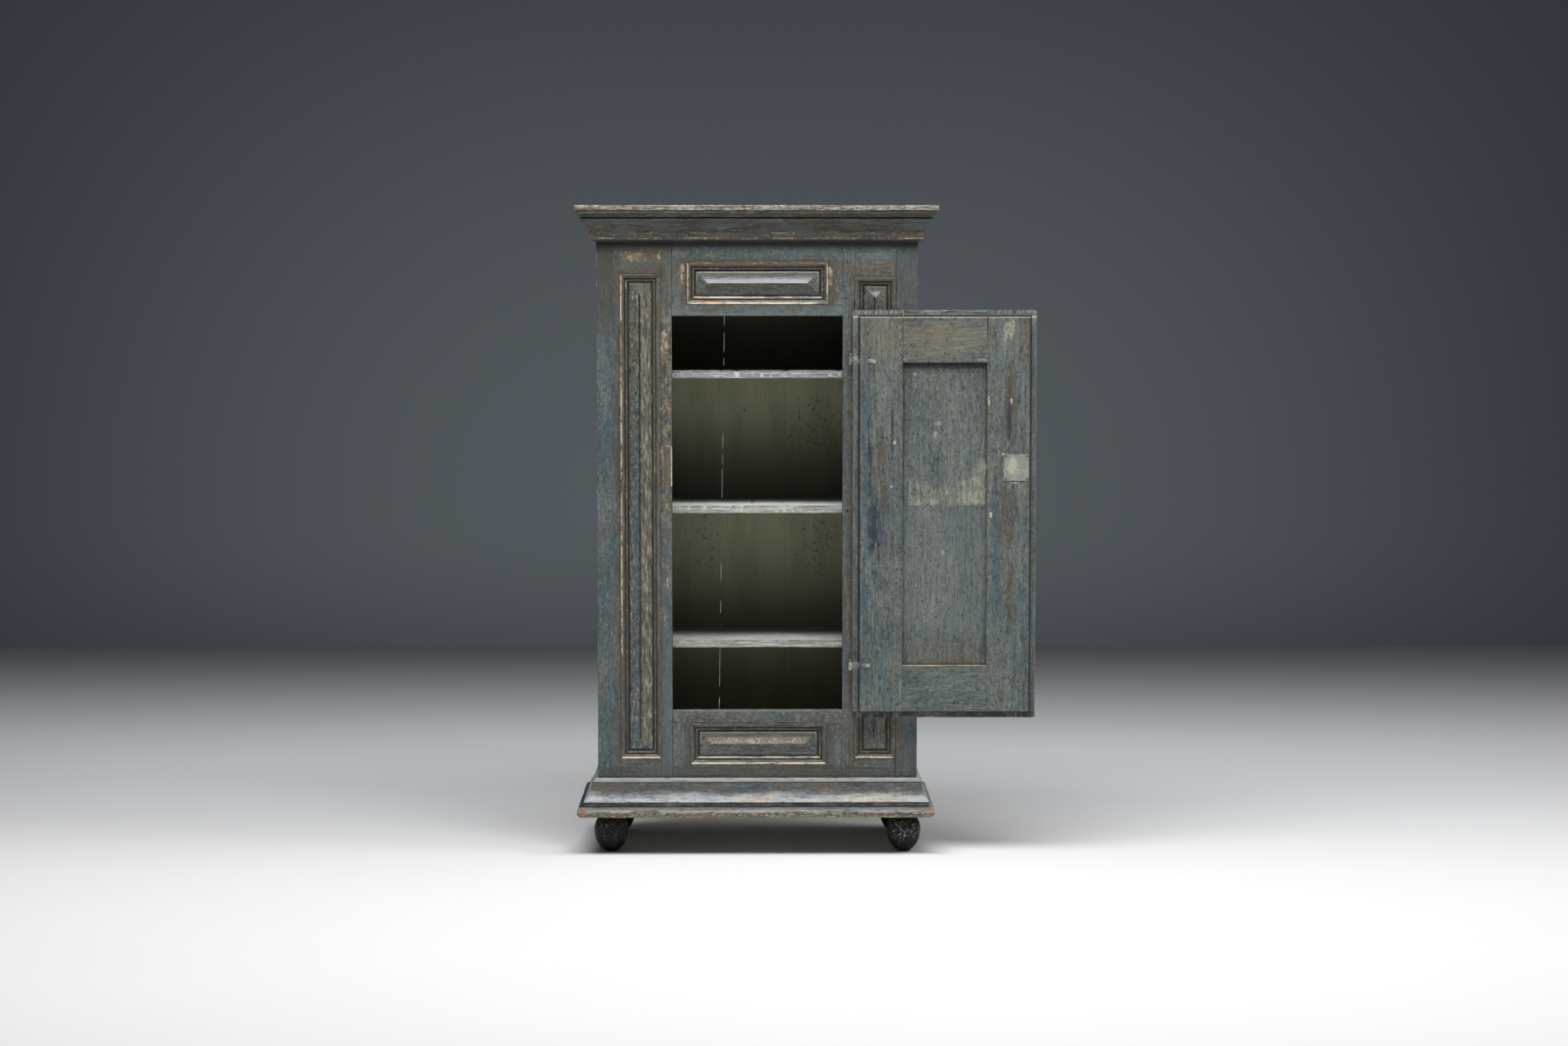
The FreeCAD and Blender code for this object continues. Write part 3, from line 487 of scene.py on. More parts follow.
def moulding_paint():
    """Paint on the panel mouldings: rubbed on the round, dirty in the quirks."""
    finish = Finish("moulding_paint", 90, (88, 93, 88))
    x, y, z = finish.x, finish.y, finish.z
    inside, upright = nearest_panel(finish)
    across = z + (x - z) * upright
    along = x + (z - x) * upright
    finish.place = finish.node("ShaderNodeCombineXYZ", None, {0: across, 1: y, 2: along})
    relief = old_paint(finish, "z", 0.35, 1.0, 1.2)
    left_strip = upright * x.ramp(-0.3, -0.34) * z.ramp(0.35, 0.75)
    level_low = (1.0 - upright) * z.between(1.455, 1.485, 0.004)
    level_low = level_low.greatest((1.0 - upright) * z.between(0.225, 0.262, 0.004))
    runs = finish.noise((0.014, 0.014, 0.06), 7.0, 0.78)
    crest = inside.between(0.002, 0.0056, 0.0014)
    right_strip = upright * x.between(-0.288, -0.262, 0.003) * z.ramp(0.35, 0.75)
    top_sides = upright * z.ramp(1.44, 1.46) * abs(x).ramp(0.22, 0.21)
    level_high = (1.0 - upright) * z.between(1.553, 1.577, 0.002)
    finish.coat((152, 138, 116), level_high * runs.ramp(0.4, 0.54) * 0.8)
    finish.coat((122, 127, 123), right_strip * 0.75)
    tall_heads = (1.0 - upright) * z.between(1.49, 1.55, 0.004) * abs(x).ramp(0.24, 0.26)
    finish.coat((112, 103, 86), tall_heads * 0.55)
    high_strip = right_strip * z.ramp(0.78, 0.95)
    finish.coat((128, 124, 112), high_strip * runs.ramp(0.42, 0.52) * 0.85)
    wander = finish.noise((0.03, 0.03, 0.075), 4.0, 0.7).ramp(0.42, 0.58)
    finish.coat((128, 108, 78), left_strip * (1.0 - wander) * runs.ramp(0.46, 0.54) * 0.6)
    rubbed = runs * 1.3 - 0.34 + left_strip * (wander * 0.34 + 0.18) + level_low * 0.46
    rubbed = rubbed + right_strip * 0.16 + top_sides * 0.34 + level_high * 0.16
    rim = inside.near(0.0168, 0.0012, 0.0012) * (runs * 1.0 - 0.06)
    upward_highlight = inside.between(0.017, 0.0208, 0.001) * level_low
    russet = inside.between(0.0072, 0.015, 0.0015) * level_low * z.ramp(1.0, 1.2)
    finish.coat(bare_brown, inside.between(0.0066, 0.019, 0.002) * runs.ramp(0.42, 0.54) * 0.6)
    finish.coat((134, 88, 58), russet * runs.ramp(0.46, 0.56) * 0.75)
    rub_through(finish, (crest * rubbed).greatest(rim), 0.8)
    # Pale paint on the upward-facing outer cove of the low mouldings: partly wear, partly painted highlight
    finish.coat((196, 194, 180), upward_highlight * runs.ramp(0.42, 0.52) * 0.8)
    finish.coat((226, 219, 198), crest * level_low * runs.ramp(0.43, 0.5) * 0.75)
    outer_quirk = inside.ramp(0.0192, 0.0206) * (1.0 - level_low)
    quirks = any_of(inside.ramp(0.0012, 0.0), inside.near(0.0138, 0.0011, 0.001), outer_quirk)
    finish.coat(grime_and_shade, quirks * 0.85)
    return finish.surface(0.4 + runs * 0.22, relief, 0.0009)


def panel_paint(name, seed, grain, node):
    """Paint on one panel: its finish, its relief, the depth inside its moulding, and its end slopes."""
    finish = Finish(name, seed, (88, 92, 88))
    across, upright = beyond(finish, *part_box(node))
    inside = 0.0 - across.greatest(upright)
    relief = old_paint(finish, grain, 0.45, 0.8, 1.5)
    return finish, relief, inside, (upright - across).ramp(-0.0008, 0.0008)


def close_panel(finish, relief, inside, roughness=0.40):
    """Darkens the panel's margin along its moulding, partly dirt and partly painted shade, and closes its
    finish.
    """
    margin_dirt_and_shade = inside.ramp(0.0268, 0.0226)
    # Darker margin along the moulding: dirt and painted shade
    finish.coat(grime_and_shade, margin_dirt_and_shade * 0.8)
    return finish.surface(roughness + finish.ragged * 0.2, relief, 0.0008)


def tall_panel(side, seed, rubbed, hip_highlight_tone):
    """A tall panel whose slopes meet in a dark ridge, the right slope rubbed to brown and cream, and its
    top end slopes painted lighter as a highlight.
    """
    node = "moulding_" + side
    middle = (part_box(node)[0].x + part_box(node)[1].x) / 2
    finish, relief, inside, ends = panel_paint("panel_paint_" + side, seed, "z", node)
    x, z = finish.x, finish.z
    runs = finish.noise((0.006, 0.006, 0.036), 7.0, 0.8)
    left_slope = x.ramp(middle + 0.001, middle - 0.002)
    finish.coat(slate_blue, left_slope * z.ramp(1.3, 1.1) * 0.35)
    scuffed = finish.noise((0.006, 0.006, 0.016), 6.0, 0.8)
    finish.coat((180, 176, 160), scuffed.ramp(0.56, 0.61) * 0.75 * rubbed)
    finish.coat(grime_and_shade, scuffed.ramp(0.45, 0.4) * 0.8)
    right_slope = x.ramp(middle + 0.002, middle + 0.006) * (1.0 - ends)
    finish.coat((116, 110, 98), right_slope * 0.75 * rubbed)
    finish.coat(bare_brown, right_slope * runs.ramp(0.5, 0.44) * 0.8 * rubbed)
    finish.coat((178, 170, 146), right_slope * runs.ramp(0.54, 0.59) * 0.8 * rubbed)
    finish.coat(grime_and_shade, right_slope * scuffed.ramp(0.44, 0.4) * 0.6)
    crest_rub = left_slope * inside.ramp(0.04, 0.052) * z.between(0.3, 0.8, 0.1)
    rub_through(finish, crest_rub * (runs - 0.2) * rubbed)
    ridge = (x + finish.ragged * 0.003 - middle + 0.0005).near(0.0, 0.0015, 0.0018)
    finish.coat((22, 20, 18), ridge * (1.0 - ends) * (0.75 + z.ramp(1.1, 1.4) * 0.2))
    # The top end slopes, which face up, are painted lighter as a highlight
    hip_highlight = ends * inside.ramp(0.034, 0.043) * z.ramp(1.0, 1.2)
    finish.coat((98, 100, 90), ends * z.ramp(1.0, 1.2) * 0.6)
    finish.coat(hip_highlight_tone, hip_highlight * scuffed.ramp(0.36, 0.46) * 0.9)
    return close_panel(finish, relief, inside)


def wide_panel(side, seed, highlight_tone, shade, cream_amount):
    """A wide panel, its upper slope painted pale towards the ridge as a highlight and rubbed through, its
    lower slope painted dark as shade.
    """
    node = "moulding_" + side
    middle = (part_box(node)[0].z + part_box(node)[1].z) / 2
    finish, relief, inside, ends = panel_paint("panel_paint_" + side, seed, "x", node)
    z = finish.z
    upper = ends * z.ramp(middle - 0.0003, middle + 0.0008) * inside.ramp(0.0262, 0.0285)
    # Upper slope: painted highlight near the ridge, painted shade above it
    painted_highlight = z.ramp(middle + 0.02, middle + 0.008)
    scraped = finish.noise((0.024, 0.006, 0.006), 7.0, 0.85)
    finish.coat(shade, upper * (1.0 - painted_highlight) * 0.6)
    finish.coat(highlight_tone, upper * (0.12 + painted_highlight * 0.84) * scraped.ramp(0.36, 0.46))
    finish.coat(grime_and_shade, upper * scraped.ramp(0.57, 0.62) * (0.8 - painted_highlight * 0.3))
    rub_through(finish, upper * cream_amount * (0.35 + painted_highlight * 0.75))
    # Lower slope, which faces down: painted dark as shade
    lower = ends * z.ramp(middle + 0.0003, middle - 0.0008)
    finish.coat((58, 58, 54), lower * (0.6 - cream_amount))
    finish.mottle(lower, [
        ((128, 122, 108), scraped, 0.55, 0.6, 0.6),
        (grime_and_shade, scraped, 0.44, 0.4, 0.6),
    ])
    finish.coat(cream, lower * scraped.ramp(0.4, 0.36) * cream_amount)
    # Painted highlight along the upper shoulder
    lit_shoulder = inside.near(0.0276, 0.0009, 0.0007) * z.ramp(middle, middle + 0.01)
    finish.coat((168, 166, 154), lit_shoulder * scraped.ramp(0.6, 0.5) * 0.8)
    return close_panel(finish, relief, inside, 0.32)


moulding_finish = moulding_paint()
for side, axis in (("left", 2), ("right", 2), ("top", 0), ("bottom", 0)):
    weathered("moulding_" + side, moulding_finish, {axis: slice_length}, chip=0.0012)
panel_finishes = [
    ("left", 2, tall_panel("left", 120, 1.0, (108, 104, 90))),
    ("right", 2, tall_panel("right", 130, 0.3, (150, 158, 160))),
    ("top", 0, wide_panel("top", 140, (152, 157, 159), (98, 96, 86), 0.1)),
    ("bottom", 0, wide_panel("bottom", 150, (182, 176, 163), (62, 58, 50), 0.42)),
]
for side, axis, panel_finish in panel_finishes:
    weathered("panel_" + side, panel_finish, {axis: slice_length}, 0.0008)

# Cornice
# Three lengths of run moulding, mitred at the front corners and nailed round the head of the case.
# Its lip is worn to cream and bare wood, and the cove keeps brown and teal layers of old paint.


def cornice_paint(name, grain, seed):
    """Paint on the cornice. Its members are told apart by their heights."""
    finish = Finish(name, seed, (78, 82, 77))
    z = finish.z
    relief = old_paint(finish, grain, 0.55, 0.95, 1.1)
    size = grain_sizes[grain]
    streaks = finish.noise(size(0.007, 0.13), 5.0, 0.7)
    layers = finish.noise(size(0.007, 0.038), 6.0, 0.78)
    cove = z.between(1.646, 1.683, 0.003)
    broad = finish.noise(size(0.03, 0.12), 5.0, 0.65)
    finish.coat((62, 60, 56), cove * 0.4)
    finish.mottle(cove, [
        ((60, 50, 40), layers, 0.46, 0.54, 0.8),
        ((116, 102, 80), layers, 0.54, 0.58, 0.75),
        (slate_blue, layers, 0.62, 0.65, 0.7),
        ((86, 102, 106), broad, 0.5, 0.58, 0.6),
    ])
    finish.coat((38, 34, 30), cove * broad.ramp(0.46, 0.38) * layers.ramp(0.52, 0.46) * 0.7)
    finish.coat(grime_and_shade, cove * streaks.ramp(0.44, 0.34) * 0.6)
    finish.coat((150, 140, 116), cove * layers.ramp(0.42, 0.39) * streaks.ramp(0.5, 0.56) * 0.8)
    steps = z.between(1.6865, 1.7025, 0.001)
    finish.mottle(steps, [
        ((46, 44, 40), layers, 0.54, 0.46, 0.6),
        ((118, 112, 98), layers, 0.56, 0.61, 0.6),
    ])
    lip = z.ramp(1.7015, 1.7045)
    wear = finish.noise(size(0.005, 0.02), 6.0, 0.8)
    finish.mottle(lip, [
        (pale_paint, wear, 0.38, 0.52, 0.75),
        ((204, 182, 156), wear, 0.48, 0.57, 0.9),
        ((118, 72, 46), streaks, 0.53, 0.58, 0.85),
        (grime_and_shade, wear, 0.45, 0.41, 0.95),
    ])
    bead = z.near(1.6315, 0.0012, 0.003).greatest(z.near(1.6455, 0.0008, 0.002))
    rub_through(finish, bead * (0.12 + streaks * 0.75))
    # The quirks darken, and the band under the bottom bead is painted dark as shadow
    quirks = any_of(
        z.near(1.6848, 0.0014, 0.0012), z.near(1.6925, 0.0006, 0.001),
        z.near(1.7035, 0.0003, 0.0009), z.ramp(1.629, 1.626),
    )
    finish.coat(grime_and_shade, quirks * 0.85)
    return finish.surface(0.44 + wear * 0.2, relief, 0.0009)


moulding_slice = 0.010


def worn_lengths(kind, paint, seed):
    """The front length and the two returns of a run moulding, each painted along its own grain."""
    front = paint(kind + "_paint_front", "x", seed)
    weathered(kind + "_front", front, {0: moulding_slice}, chip=0.0016)
    returns = paint(kind + "_paint_return", "y", seed + 10)
    for side in ("_left", "_right"):
        weathered(kind + side, returns, {1: moulding_slice}, chip=0.0016)


worn_lengths("cornice", cornice_paint, 170)

# Plinth
# Three lengths of run moulding, mitred at the front corners and nailed round the foot of the case.
# The lower part of the cove, which turns up to the light, is painted pale as a highlight and scrubbed to
# cream in places, and the corners are bare.


def plinth_paint(name, grain, seed):
    """Paint on the plinth. Its members are told apart by their heights."""
    finish = Finish(name, seed, (104, 110, 110))
    x, y, z = finish.x, finish.y, finish.z
    relief = old_paint(finish, grain, 0.5, 0.7, 1.3)
    size = grain_sizes[grain]
    streaks = finish.noise(size(0.006, 0.11), 5.0, 0.7)
    wear = finish.noise(size(0.009, 0.045), 6.0, 0.72)
    broad = finish.noise(size(0.03, 0.1), 5.0, 0.65)
    brushed = z + (wear - 0.5) * 0.03 + (streaks - 0.5) * 0.02 + (broad - 0.5) * 0.04
    upper = brushed.between(0.17, 0.194, 0.014) * z.ramp(0.1895, 0.188)
    finish.mottle(upper, [
        ((88, 93, 97), wear, 0.6, 0.42, 0.65),
        ((62, 74, 84), broad, 0.56, 0.64, 0.6),
        ((108, 90, 72), broad, 0.5, 0.42, 0.65),
    ])
    finish.coat((166, 152, 128), upper * wear.ramp(0.58, 0.63) * broad.ramp(0.52, 0.44) * 0.8)
    low_cove = brushed.ramp(0.172, 0.15) * z.ramp(0.1405, 0.143)
    # Painted highlight on the lower part of the cove, which turns up to the light
    finish.coat((180, 186, 192), low_cove * wear.ramp(0.34, 0.48) * 0.88)
    scrubbed = finish.patch(0.0, 0.155, 0.05, 0.02).greatest(finish.patch(0.3, 0.155, 0.12, 0.016) * 0.7)
    finish.coat(cream, low_cove * (wear.ramp(0.54, 0.62) * 0.6).greatest(scrubbed * 0.8))
    chips = finish.noise(size(0.005, 0.012), 6.0, 0.8)
    finish.coat(grime_and_shade, low_cove * chips.ramp(0.57, 0.62) * 0.8)
    finish.coat(bare_brown, upper * chips.ramp(0.55, 0.59) * 0.85)
    finish.coat(grime_and_shade, low_cove * streaks.ramp(0.62, 0.7) * 0.5)
    top_round = z.ramp(0.19, 0.194)
    finish.mottle(top_round, [
        ((166, 168, 164), wear, 0.32, 0.46, 0.85),
        (grime_and_shade, chips, 0.6, 0.66, 0.8),
    ])
    torus = z.ramp(0.131, 0.128)
    finish.coat((96, 106, 110), torus * 0.8)
    ridge = (z + (wear - 0.5) * 0.012).between(0.1145, 0.1225, 0.003)
    finish.coat((178, 178, 172), ridge * torus * wear.ramp(0.4, 0.52) * 0.85)
    below = (z + (wear - 0.5) * 0.012).ramp(0.118, 0.115)
    finish.coat((126, 108, 84), below * 0.8)
    finish.mottle(below, [
        ((66, 54, 44), chips, 0.48, 0.43, 0.85),
        ((196, 186, 160), chips, 0.535, 0.58, 0.9),
    ])
    finish.coat(bare_brown, torus * streaks.ramp(0.58, 0.66) * 0.5)
    ends = abs(x).ramp(0.44, 0.468) * y.ramp(-0.16, -0.23) * torus
    finish.coat((168, 112, 72), ends * chips.ramp(0.46, 0.54) * 0.7)
    fillet = z.between(0.1315, 0.14, 0.0012)
    finish.coat((120, 107, 95), fillet * 0.85)
    finish.coat((150, 148, 140), fillet * wear.ramp(0.56, 0.62) * 0.7)
    quirks = any_of(
        fillet * wear.ramp(0.52, 0.45) * 0.8, z.near(0.1306, 0.0005, 0.0012),
        z.near(0.141, 0.0004, 0.001), z.near(0.1912, 0.0004, 0.0012),
    )
    finish.coat(grime_and_shade, quirks * 0.88)
    return finish.surface(0.38 + wear * 0.2, relief, 0.0009)


worn_lengths("plinth", plinth_paint, 200)

# Feet
# Turned balls of hardwood, each on a small flat, with a spigot glued into a block behind the plinth.
# Their black paint is scuffed grey and cream on the rounds by shoes and brooms.

foot_paint = Finish("foot_paint", 230, (10, 10, 10))
scuffs = foot_paint.noise((0.007, 0.007, 0.006), 6.0, 0.8)
patina = foot_paint.noise((0.05, 0.05, 0.05), 3.0)
foot_paint.coat((22, 22, 21), patina.ramp(0.42, 0.62))
kicked = foot_paint.z.between(0.045, 0.08, 0.022) * foot_paint.y.ramp(-0.1, -0.16)
used = foot_paint.x.ramp(-0.1, 0.1) * 0.03 + kicked * 0.06 + patina * 0.14 - 0.09
foot_paint.coat((78, 78, 76), (scuffs + used).ramp(0.54, 0.64) * 0.8)
foot_paint.coat((190, 188, 176), (scuffs + used).ramp(0.645, 0.675) * 0.85)
foot_finish = foot_paint.surface(0.42 + scuffs * 0.3, scuffs, 0.0012, shine=0.22)
for name in ("foot_front_left", "foot_front_right", "foot_back_left", "foot_back_right"):
    dress(name, foot_finish)


def bare_wood(name, seed, grain, tone, dark):
    """Softwood with its grain showing, gone grey and dry. Returns its finish and relief."""
    finish = Finish(name, seed, tone)
    size = grain_sizes[grain]
    rings = finish.noise(size(0.012, 0.5), 4.0, 0.6)
    fibres = finish.noise(size(0.0016, 0.06), 4.0, 0.7)
    dirt = finish.noise((0.09, 0.09, 0.12), 5.0, 0.65)
    finish.coat(dark, rings.ramp(0.42, 0.62) * 0.5)
    finish.coat(dark, fibres.ramp(0.52, 0.66) * 0.4)
    finish.coat(grime_and_shade, dirt.ramp(0.56, 0.74) * 0.4)
    return finish, rings * 0.4 + fibres * 0.6


block, block_relief = bare_wood("block_wood", 240, "z", (150, 122, 88), (96, 74, 50))
dress("foot_blocks", block.surface(0.75, block_relief, 0.0004))

# Case sides, top and floor
# Wide softwood boards, rebated together and nailed. The sides carry the same blue-grey paint as the
# frame, the top is dusty and drips over at its edges, and the floor is painted like the shelves.


def side_paint():
    """Paint on the sides, rubbed at the front corners, with painted shadow under the cornice."""
    finish = Finish("side_paint", 250)
    y, z = finish.y, finish.z
    relief = old_paint(finish, "z", 0.95, 0.45)
    corner = (y - case_low.y).ramp(0.007, 0.001)
    foot = z.ramp(0.3, 0.2)
    finish.coat(brown_grey, foot * 0.5)
    rub_through(finish, corner * 0.8)
    # Painted shadow under the cornice, and a dark band just above the plinth
    finish.coat(grime_and_shade, z.ramp(cornice_foot - 0.03, cornice_foot - 0.006) * 0.6)
    finish.coat(grime_and_shade, z.ramp(plinth_head + 0.007, plinth_head) * 0.8)
    return finish.surface(0.42 + finish.ragged * 0.25, relief, 0.0007)


sides = side_paint()
for side in ("left", "right"):
    weathered("side_board_" + side, sides, {2: 0.03}, 0.0007, chip=0.001)
top_wood, top_relief = bare_wood("top_wood", 260, "x", (122, 114, 98), (74, 64, 52))
drips = top_wood.noise((0.05, 0.05, 0.05), 5.0, 0.7)
top_wood.coat(grey_blue, drips.ramp(0.5, 0.6) * 0.6)
dress("top_board", top_wood.surface(0.75, top_relief, 0.0005))

# Back boards
# Five upright softwood boards, butted and nailed from behind to the top, the shelves and the floor.
# Inside they have an old olive-grey wash, scratched and spotted. One joint has opened to a slit.

bay_floors = ["floor_board", "shelf_1", "shelf_2", "shelf_3"]
bay_roofs = ["shelf_1", "shelf_2", "shelf_3", "top_board"]


def back_wood():
    """Bare wood outside and in the joints, and the old olive-grey wash inside."""
    finish, relief = bare_wood("back_wood", 270, "z", (128, 116, 96), (82, 70, 54))
    x, y, z = finish.x, finish.y, finish.z
    low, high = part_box("back_board_1")
    size = grain_sizes["z"]
    wash = finish.noise(size(0.05, 0.25), 4.0)
    fibres = finish.noise(size(0.003, 0.12), 5.0, 0.65)
    bare_side = finish.colour
    finish.colour = srgb(182, 182, 150)
    finish.coat((168, 168, 136), wash.ramp(0.4, 0.64))
    # In each compartment the wash is painted darker towards the shelf below, as painted shade
    painted_bay_shade = 0.0
    for low_name, high_name, depth in zip(bay_floors, bay_roofs, (1.0, 0.6, 1.0, 1.0)):
        foot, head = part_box(low_name)[1].z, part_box(high_name)[0].z
        bay = z.between(foot, head, 0.002)
        painted_bay_shade = bay * z.ramp(head - 0.03, foot + 0.05) * depth + painted_bay_shade
    finish.coat((74, 74, 54), painted_bay_shade * 0.75)
    # The bay below the first shelf is darker still
    shelf_low, shelf_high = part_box("shelf_1")
    finish.coat((88, 84, 58), z.ramp(shelf_high.z, shelf_low.z) * 0.45)
    finish.coat((110, 108, 84), fibres.ramp(0.54, 0.68) * 0.3)
    spots = finish.noise((0.006, 0.006, 0.009), 5.0, 0.6)
    spotted = finish.patches((-0.145, 0.82, 0.05, 0.1), (0.16, 1.12, 0.09, 0.09))
    spotted = spotted.greatest(finish.patch(0.17, 0.8, 0.07, 0.09) * 0.9)
    finish.coat((52, 56, 54), spots.ramp(0.585, 0.63) * spotted * 0.85)
    finish.coat((70, 70, 58), spots.ramp(0.66, 0.72) * 0.6)
    slant = finish.node(
        "ShaderNodeMapping", None,
        {"Vector": finish.place, "Rotation": (0.0, radians(32), 0.0), "Scale": (26.0, 1.0, 240.0)},
    )
    slanting = finish.node(
        "ShaderNodeTexNoise", None,
        {"Vector": slant, "Scale": 1.0, "Detail": 2.0, "Roughness": 0.5},
    )
    scratches = abs(slanting - 0.5).ramp(0.016, 0.004)
    scratched = finish.patches((0.185, 1.135, 0.045, 0.05), (0.19, 0.82, 0.04, 0.05))
    finish.coat((40, 46, 50), scratches * scratched * 0.8)
    aside, above = x + 0.035, z - 1.166
    hole = aside * aside + above * above
    finish.coat(grime_and_shade, hole.ramp(0.0000085, 0.000004))
    olive_side = finish.colour
    finish.colour = bare_side
    joint_faces = y.ramp(high.y - 0.0016, high.y - 0.003)
    finish.coat((40, 37, 30), joint_faces * 0.9)
    inner_face = y.ramp(low.y + 0.004, low.y + 0.001)
    finish.colour = finish.layer(finish.colour, olive_side, inner_face)
    return finish.surface(0.6, relief, 0.0004)


back_finish = back_wood()
back_nodes = ["back_board_%d" % number for number in range(1, 6)]
split_node = "back_board_3"
# Heights between which the split joint still touches, lowest and highest
touching = [
    (0.368, 0.402), (0.57, 0.602), (0.6385, 0.696), (0.742, 0.906), (1.003, 1.016), (1.043, 1.062),
    (1.1, 1.292), (1.309, 1.3235), (1.381, 1.398),
]
split_width = 0.0029


def torn_edge(place):
    """How far the split board's edge reaches over towards its neighbour."""
    low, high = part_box(split_node)
    if place.x > (low.x + high.x) / 2:
        return Vector()
    reach = 0.0019 + noise.noise(Vector((0.0, 3.1, place.z / 0.012))) * 0.0009
    if any(foot <= place.z <= head for foot, head in touching):
        reach = split_width
    return Vector((-reach, 0.0, 0.0))


for name in back_nodes:
    if name == split_node:
        weathered(name, back_finish, {2: 0.005}, 0.0002, torn=torn_edge)
    else:
        weathered(name, back_finish, {2: 0.03}, 0.0002)

# Dirt and old paint that has bridged the narrow joints between the other boards
dirt_half_width = 0.0006
dirt_margin = 0.003
dirt = bmesh.new()
for number in (1, 3, 4):
    board_low, board_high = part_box(back_nodes[number])
    joint = (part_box(back_nodes[number - 1])[1].x + board_low.x) / 2
    middle = Vector((joint, (board_low.y + board_high.y) / 2, (board_low.z + board_high.z) / 2))
    extent = board_high - board_low - Vector((0.0, dirt_margin, dirt_margin)) * 2
    shape = Matrix.Diagonal((dirt_half_width * 2, extent.y, extent.z, 1.0))
    bmesh.ops.create_cube(dirt, size=1.0, matrix=Matrix.Translation(middle) @ shape)
dirt_mesh = bpy.data.meshes.new("joint_dirt")
dirt.to_mesh(dirt_mesh)
dirt.free()
dirt_mesh.materials.append(back_finish)
joint_dirt = put_in_scene("joint_dirt", dirt_mesh)
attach(joint_dirt, "case")


def nail_tree():
    """Geometry nodes that set a hammered nail head on every point, facing away from the wood."""
    tree = bpy.data.node_groups.new("nail_heads", "GeometryNodeTree")
    tree.is_modifier = True
    for name, kind in (("Geometry", "NodeSocketGeometry"), ("Head radius", "NodeSocketFloat"),
                       ("Head rise", "NodeSocketFloat"), ("Turn", "NodeSocketRotation"),
                       ("Finish", "NodeSocketMaterial")):
        tree.interface.new_socket(name, in_out="INPUT", socket_type=kind)
    tree.interface.new_socket("Geometry", in_out="OUTPUT", socket_type="NodeSocketGeometry")

    def add(kind, settings=None, sockets=None):
        new = tree.nodes.new(kind)
        for name, value in (settings or {}).items():
            setattr(new, name, value)
        for name, value in (sockets or {}).items():
            if isinstance(value, bpy.types.NodeSocket):
                tree.links.new(value, new.inputs[name])
            else:
                new.inputs[name].default_value = value
        return new

    given = add("NodeGroupInput").outputs
    radius = given["Head radius"]
    ball = add("GeometryNodeMeshUVSphere", None, {"Segments": 10, "Rings": 6, "Radius": radius})
    flatness = add("ShaderNodeMath", {"operation": "DIVIDE"}, {0: given["Head rise"], 1: radius})
    shape = add("ShaderNodeCombineXYZ", None, {"X": 1.0, "Y": 1.0, "Z": flatness.outputs[0]})
    head = add("GeometryNodeTransform", None, {"Geometry": ball.outputs["Mesh"], "Scale": shape.outputs[0]})
    dents = add("ShaderNodeTexNoise", None, {"Scale": 700.0, "Detail": 2.0})
    middle = (0.5, 0.5, 0.5)
    centred = add("ShaderNodeVectorMath", {"operation": "SUBTRACT"}, {0: dents.outputs["Color"], 1: middle})
    dent = add("ShaderNodeVectorMath", {"operation": "SCALE"}, {0: centred.outputs[0], "Scale": 0.0008})
    beaten = add("GeometryNodeSetPosition", None, {"Geometry": head.outputs[0], "Offset": dent.outputs[0]})
    size = add("FunctionNodeRandomValue", {"data_type": "FLOAT"}, {2: 0.8, 3: 1.15, "Seed": 4})
    spread = add("GeometryNodeInstanceOnPoints", None, {
        "Points": given["Geometry"], "Instance": beaten.outputs[0], "Rotation": given["Turn"],
        "Scale": size.outputs[1]})
    real = add("GeometryNodeRealizeInstances", None, {"Geometry": spread.outputs[0]})
    smooth = add("GeometryNodeSetShadeSmooth", None, {"Geometry": real.outputs[0]})
    iron_skin = {"Geometry": smooth.outputs[0], "Material": given["Finish"]}
    dressed = add("GeometryNodeSetMaterial", None, iron_skin)
    add("NodeGroupOutput", None, {"Geometry": dressed.outputs[0]})
    return tree


nails = nail_tree()


def nail_heads(name, places, radius, painted_bay_shade, finish):
    """A mesh of nail heads at the given places."""
    points = bpy.data.meshes.new(name + "_places")
    points.from_pydata(places, [], [])
    seat = put_in_scene(name + "_places", points)
    modifier = seat.modifiers.new("heads", "NODES")
    modifier.node_group = nails
    sockets = {item.name: item.identifier for item in nails.interface.items_tree if item.in_out == "INPUT"}
    modifier[sockets["Head radius"]] = radius
    modifier[sockets["Head rise"]] = painted_bay_shade
    modifier[sockets["Turn"]] = (radians(90), 0.0, 0.0)
    modifier[sockets["Finish"]] = finish
    graph = bpy.context.evaluated_depsgraph_get()
    mesh = bpy.data.meshes.new_from_object(seat.evaluated_get(graph))
    seat.modifiers.remove(modifier)
    bpy.data.objects.remove(seat)
    piece = put_in_scene(name, mesh)
    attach(piece, "case")


iron = Finish("rusted_iron", 300, (58, 54, 50))
rust = iron.noise((0.006, 0.006, 0.006), 6.0, 0.7)
iron.coat((104, 66, 42), rust.ramp(0.48, 0.66) * 0.8)
iron.coat((30, 28, 27), rust.ramp(0.44, 0.32) * 0.7)
bare_iron = iron.surface(0.5 + rust * 0.3, rust, 0.0004, metallic=0.75)

nail_places = []
nailed_nodes = ("shelf_1", "shelf_2", "shelf_3", "floor_board", "top_board")
nail_heights = [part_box(name)[0].z / 2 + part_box(name)[1].z / 2 for name in nailed_nodes]
for name in back_nodes:
    low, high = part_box(name)
    for height in nail_heights:
        for share in (0.22, 0.78):
            across = low.x + (high.x - low.x) * share
            sway = noise.noise(Vector((across * 40, height * 9, 0.3))) * 0.006
            nail_places.append((across + sway, high.y - 0.0006, height + sway))
nail_heads("back_nails", nail_places, 0.0038, 0.0003, bare_iron)

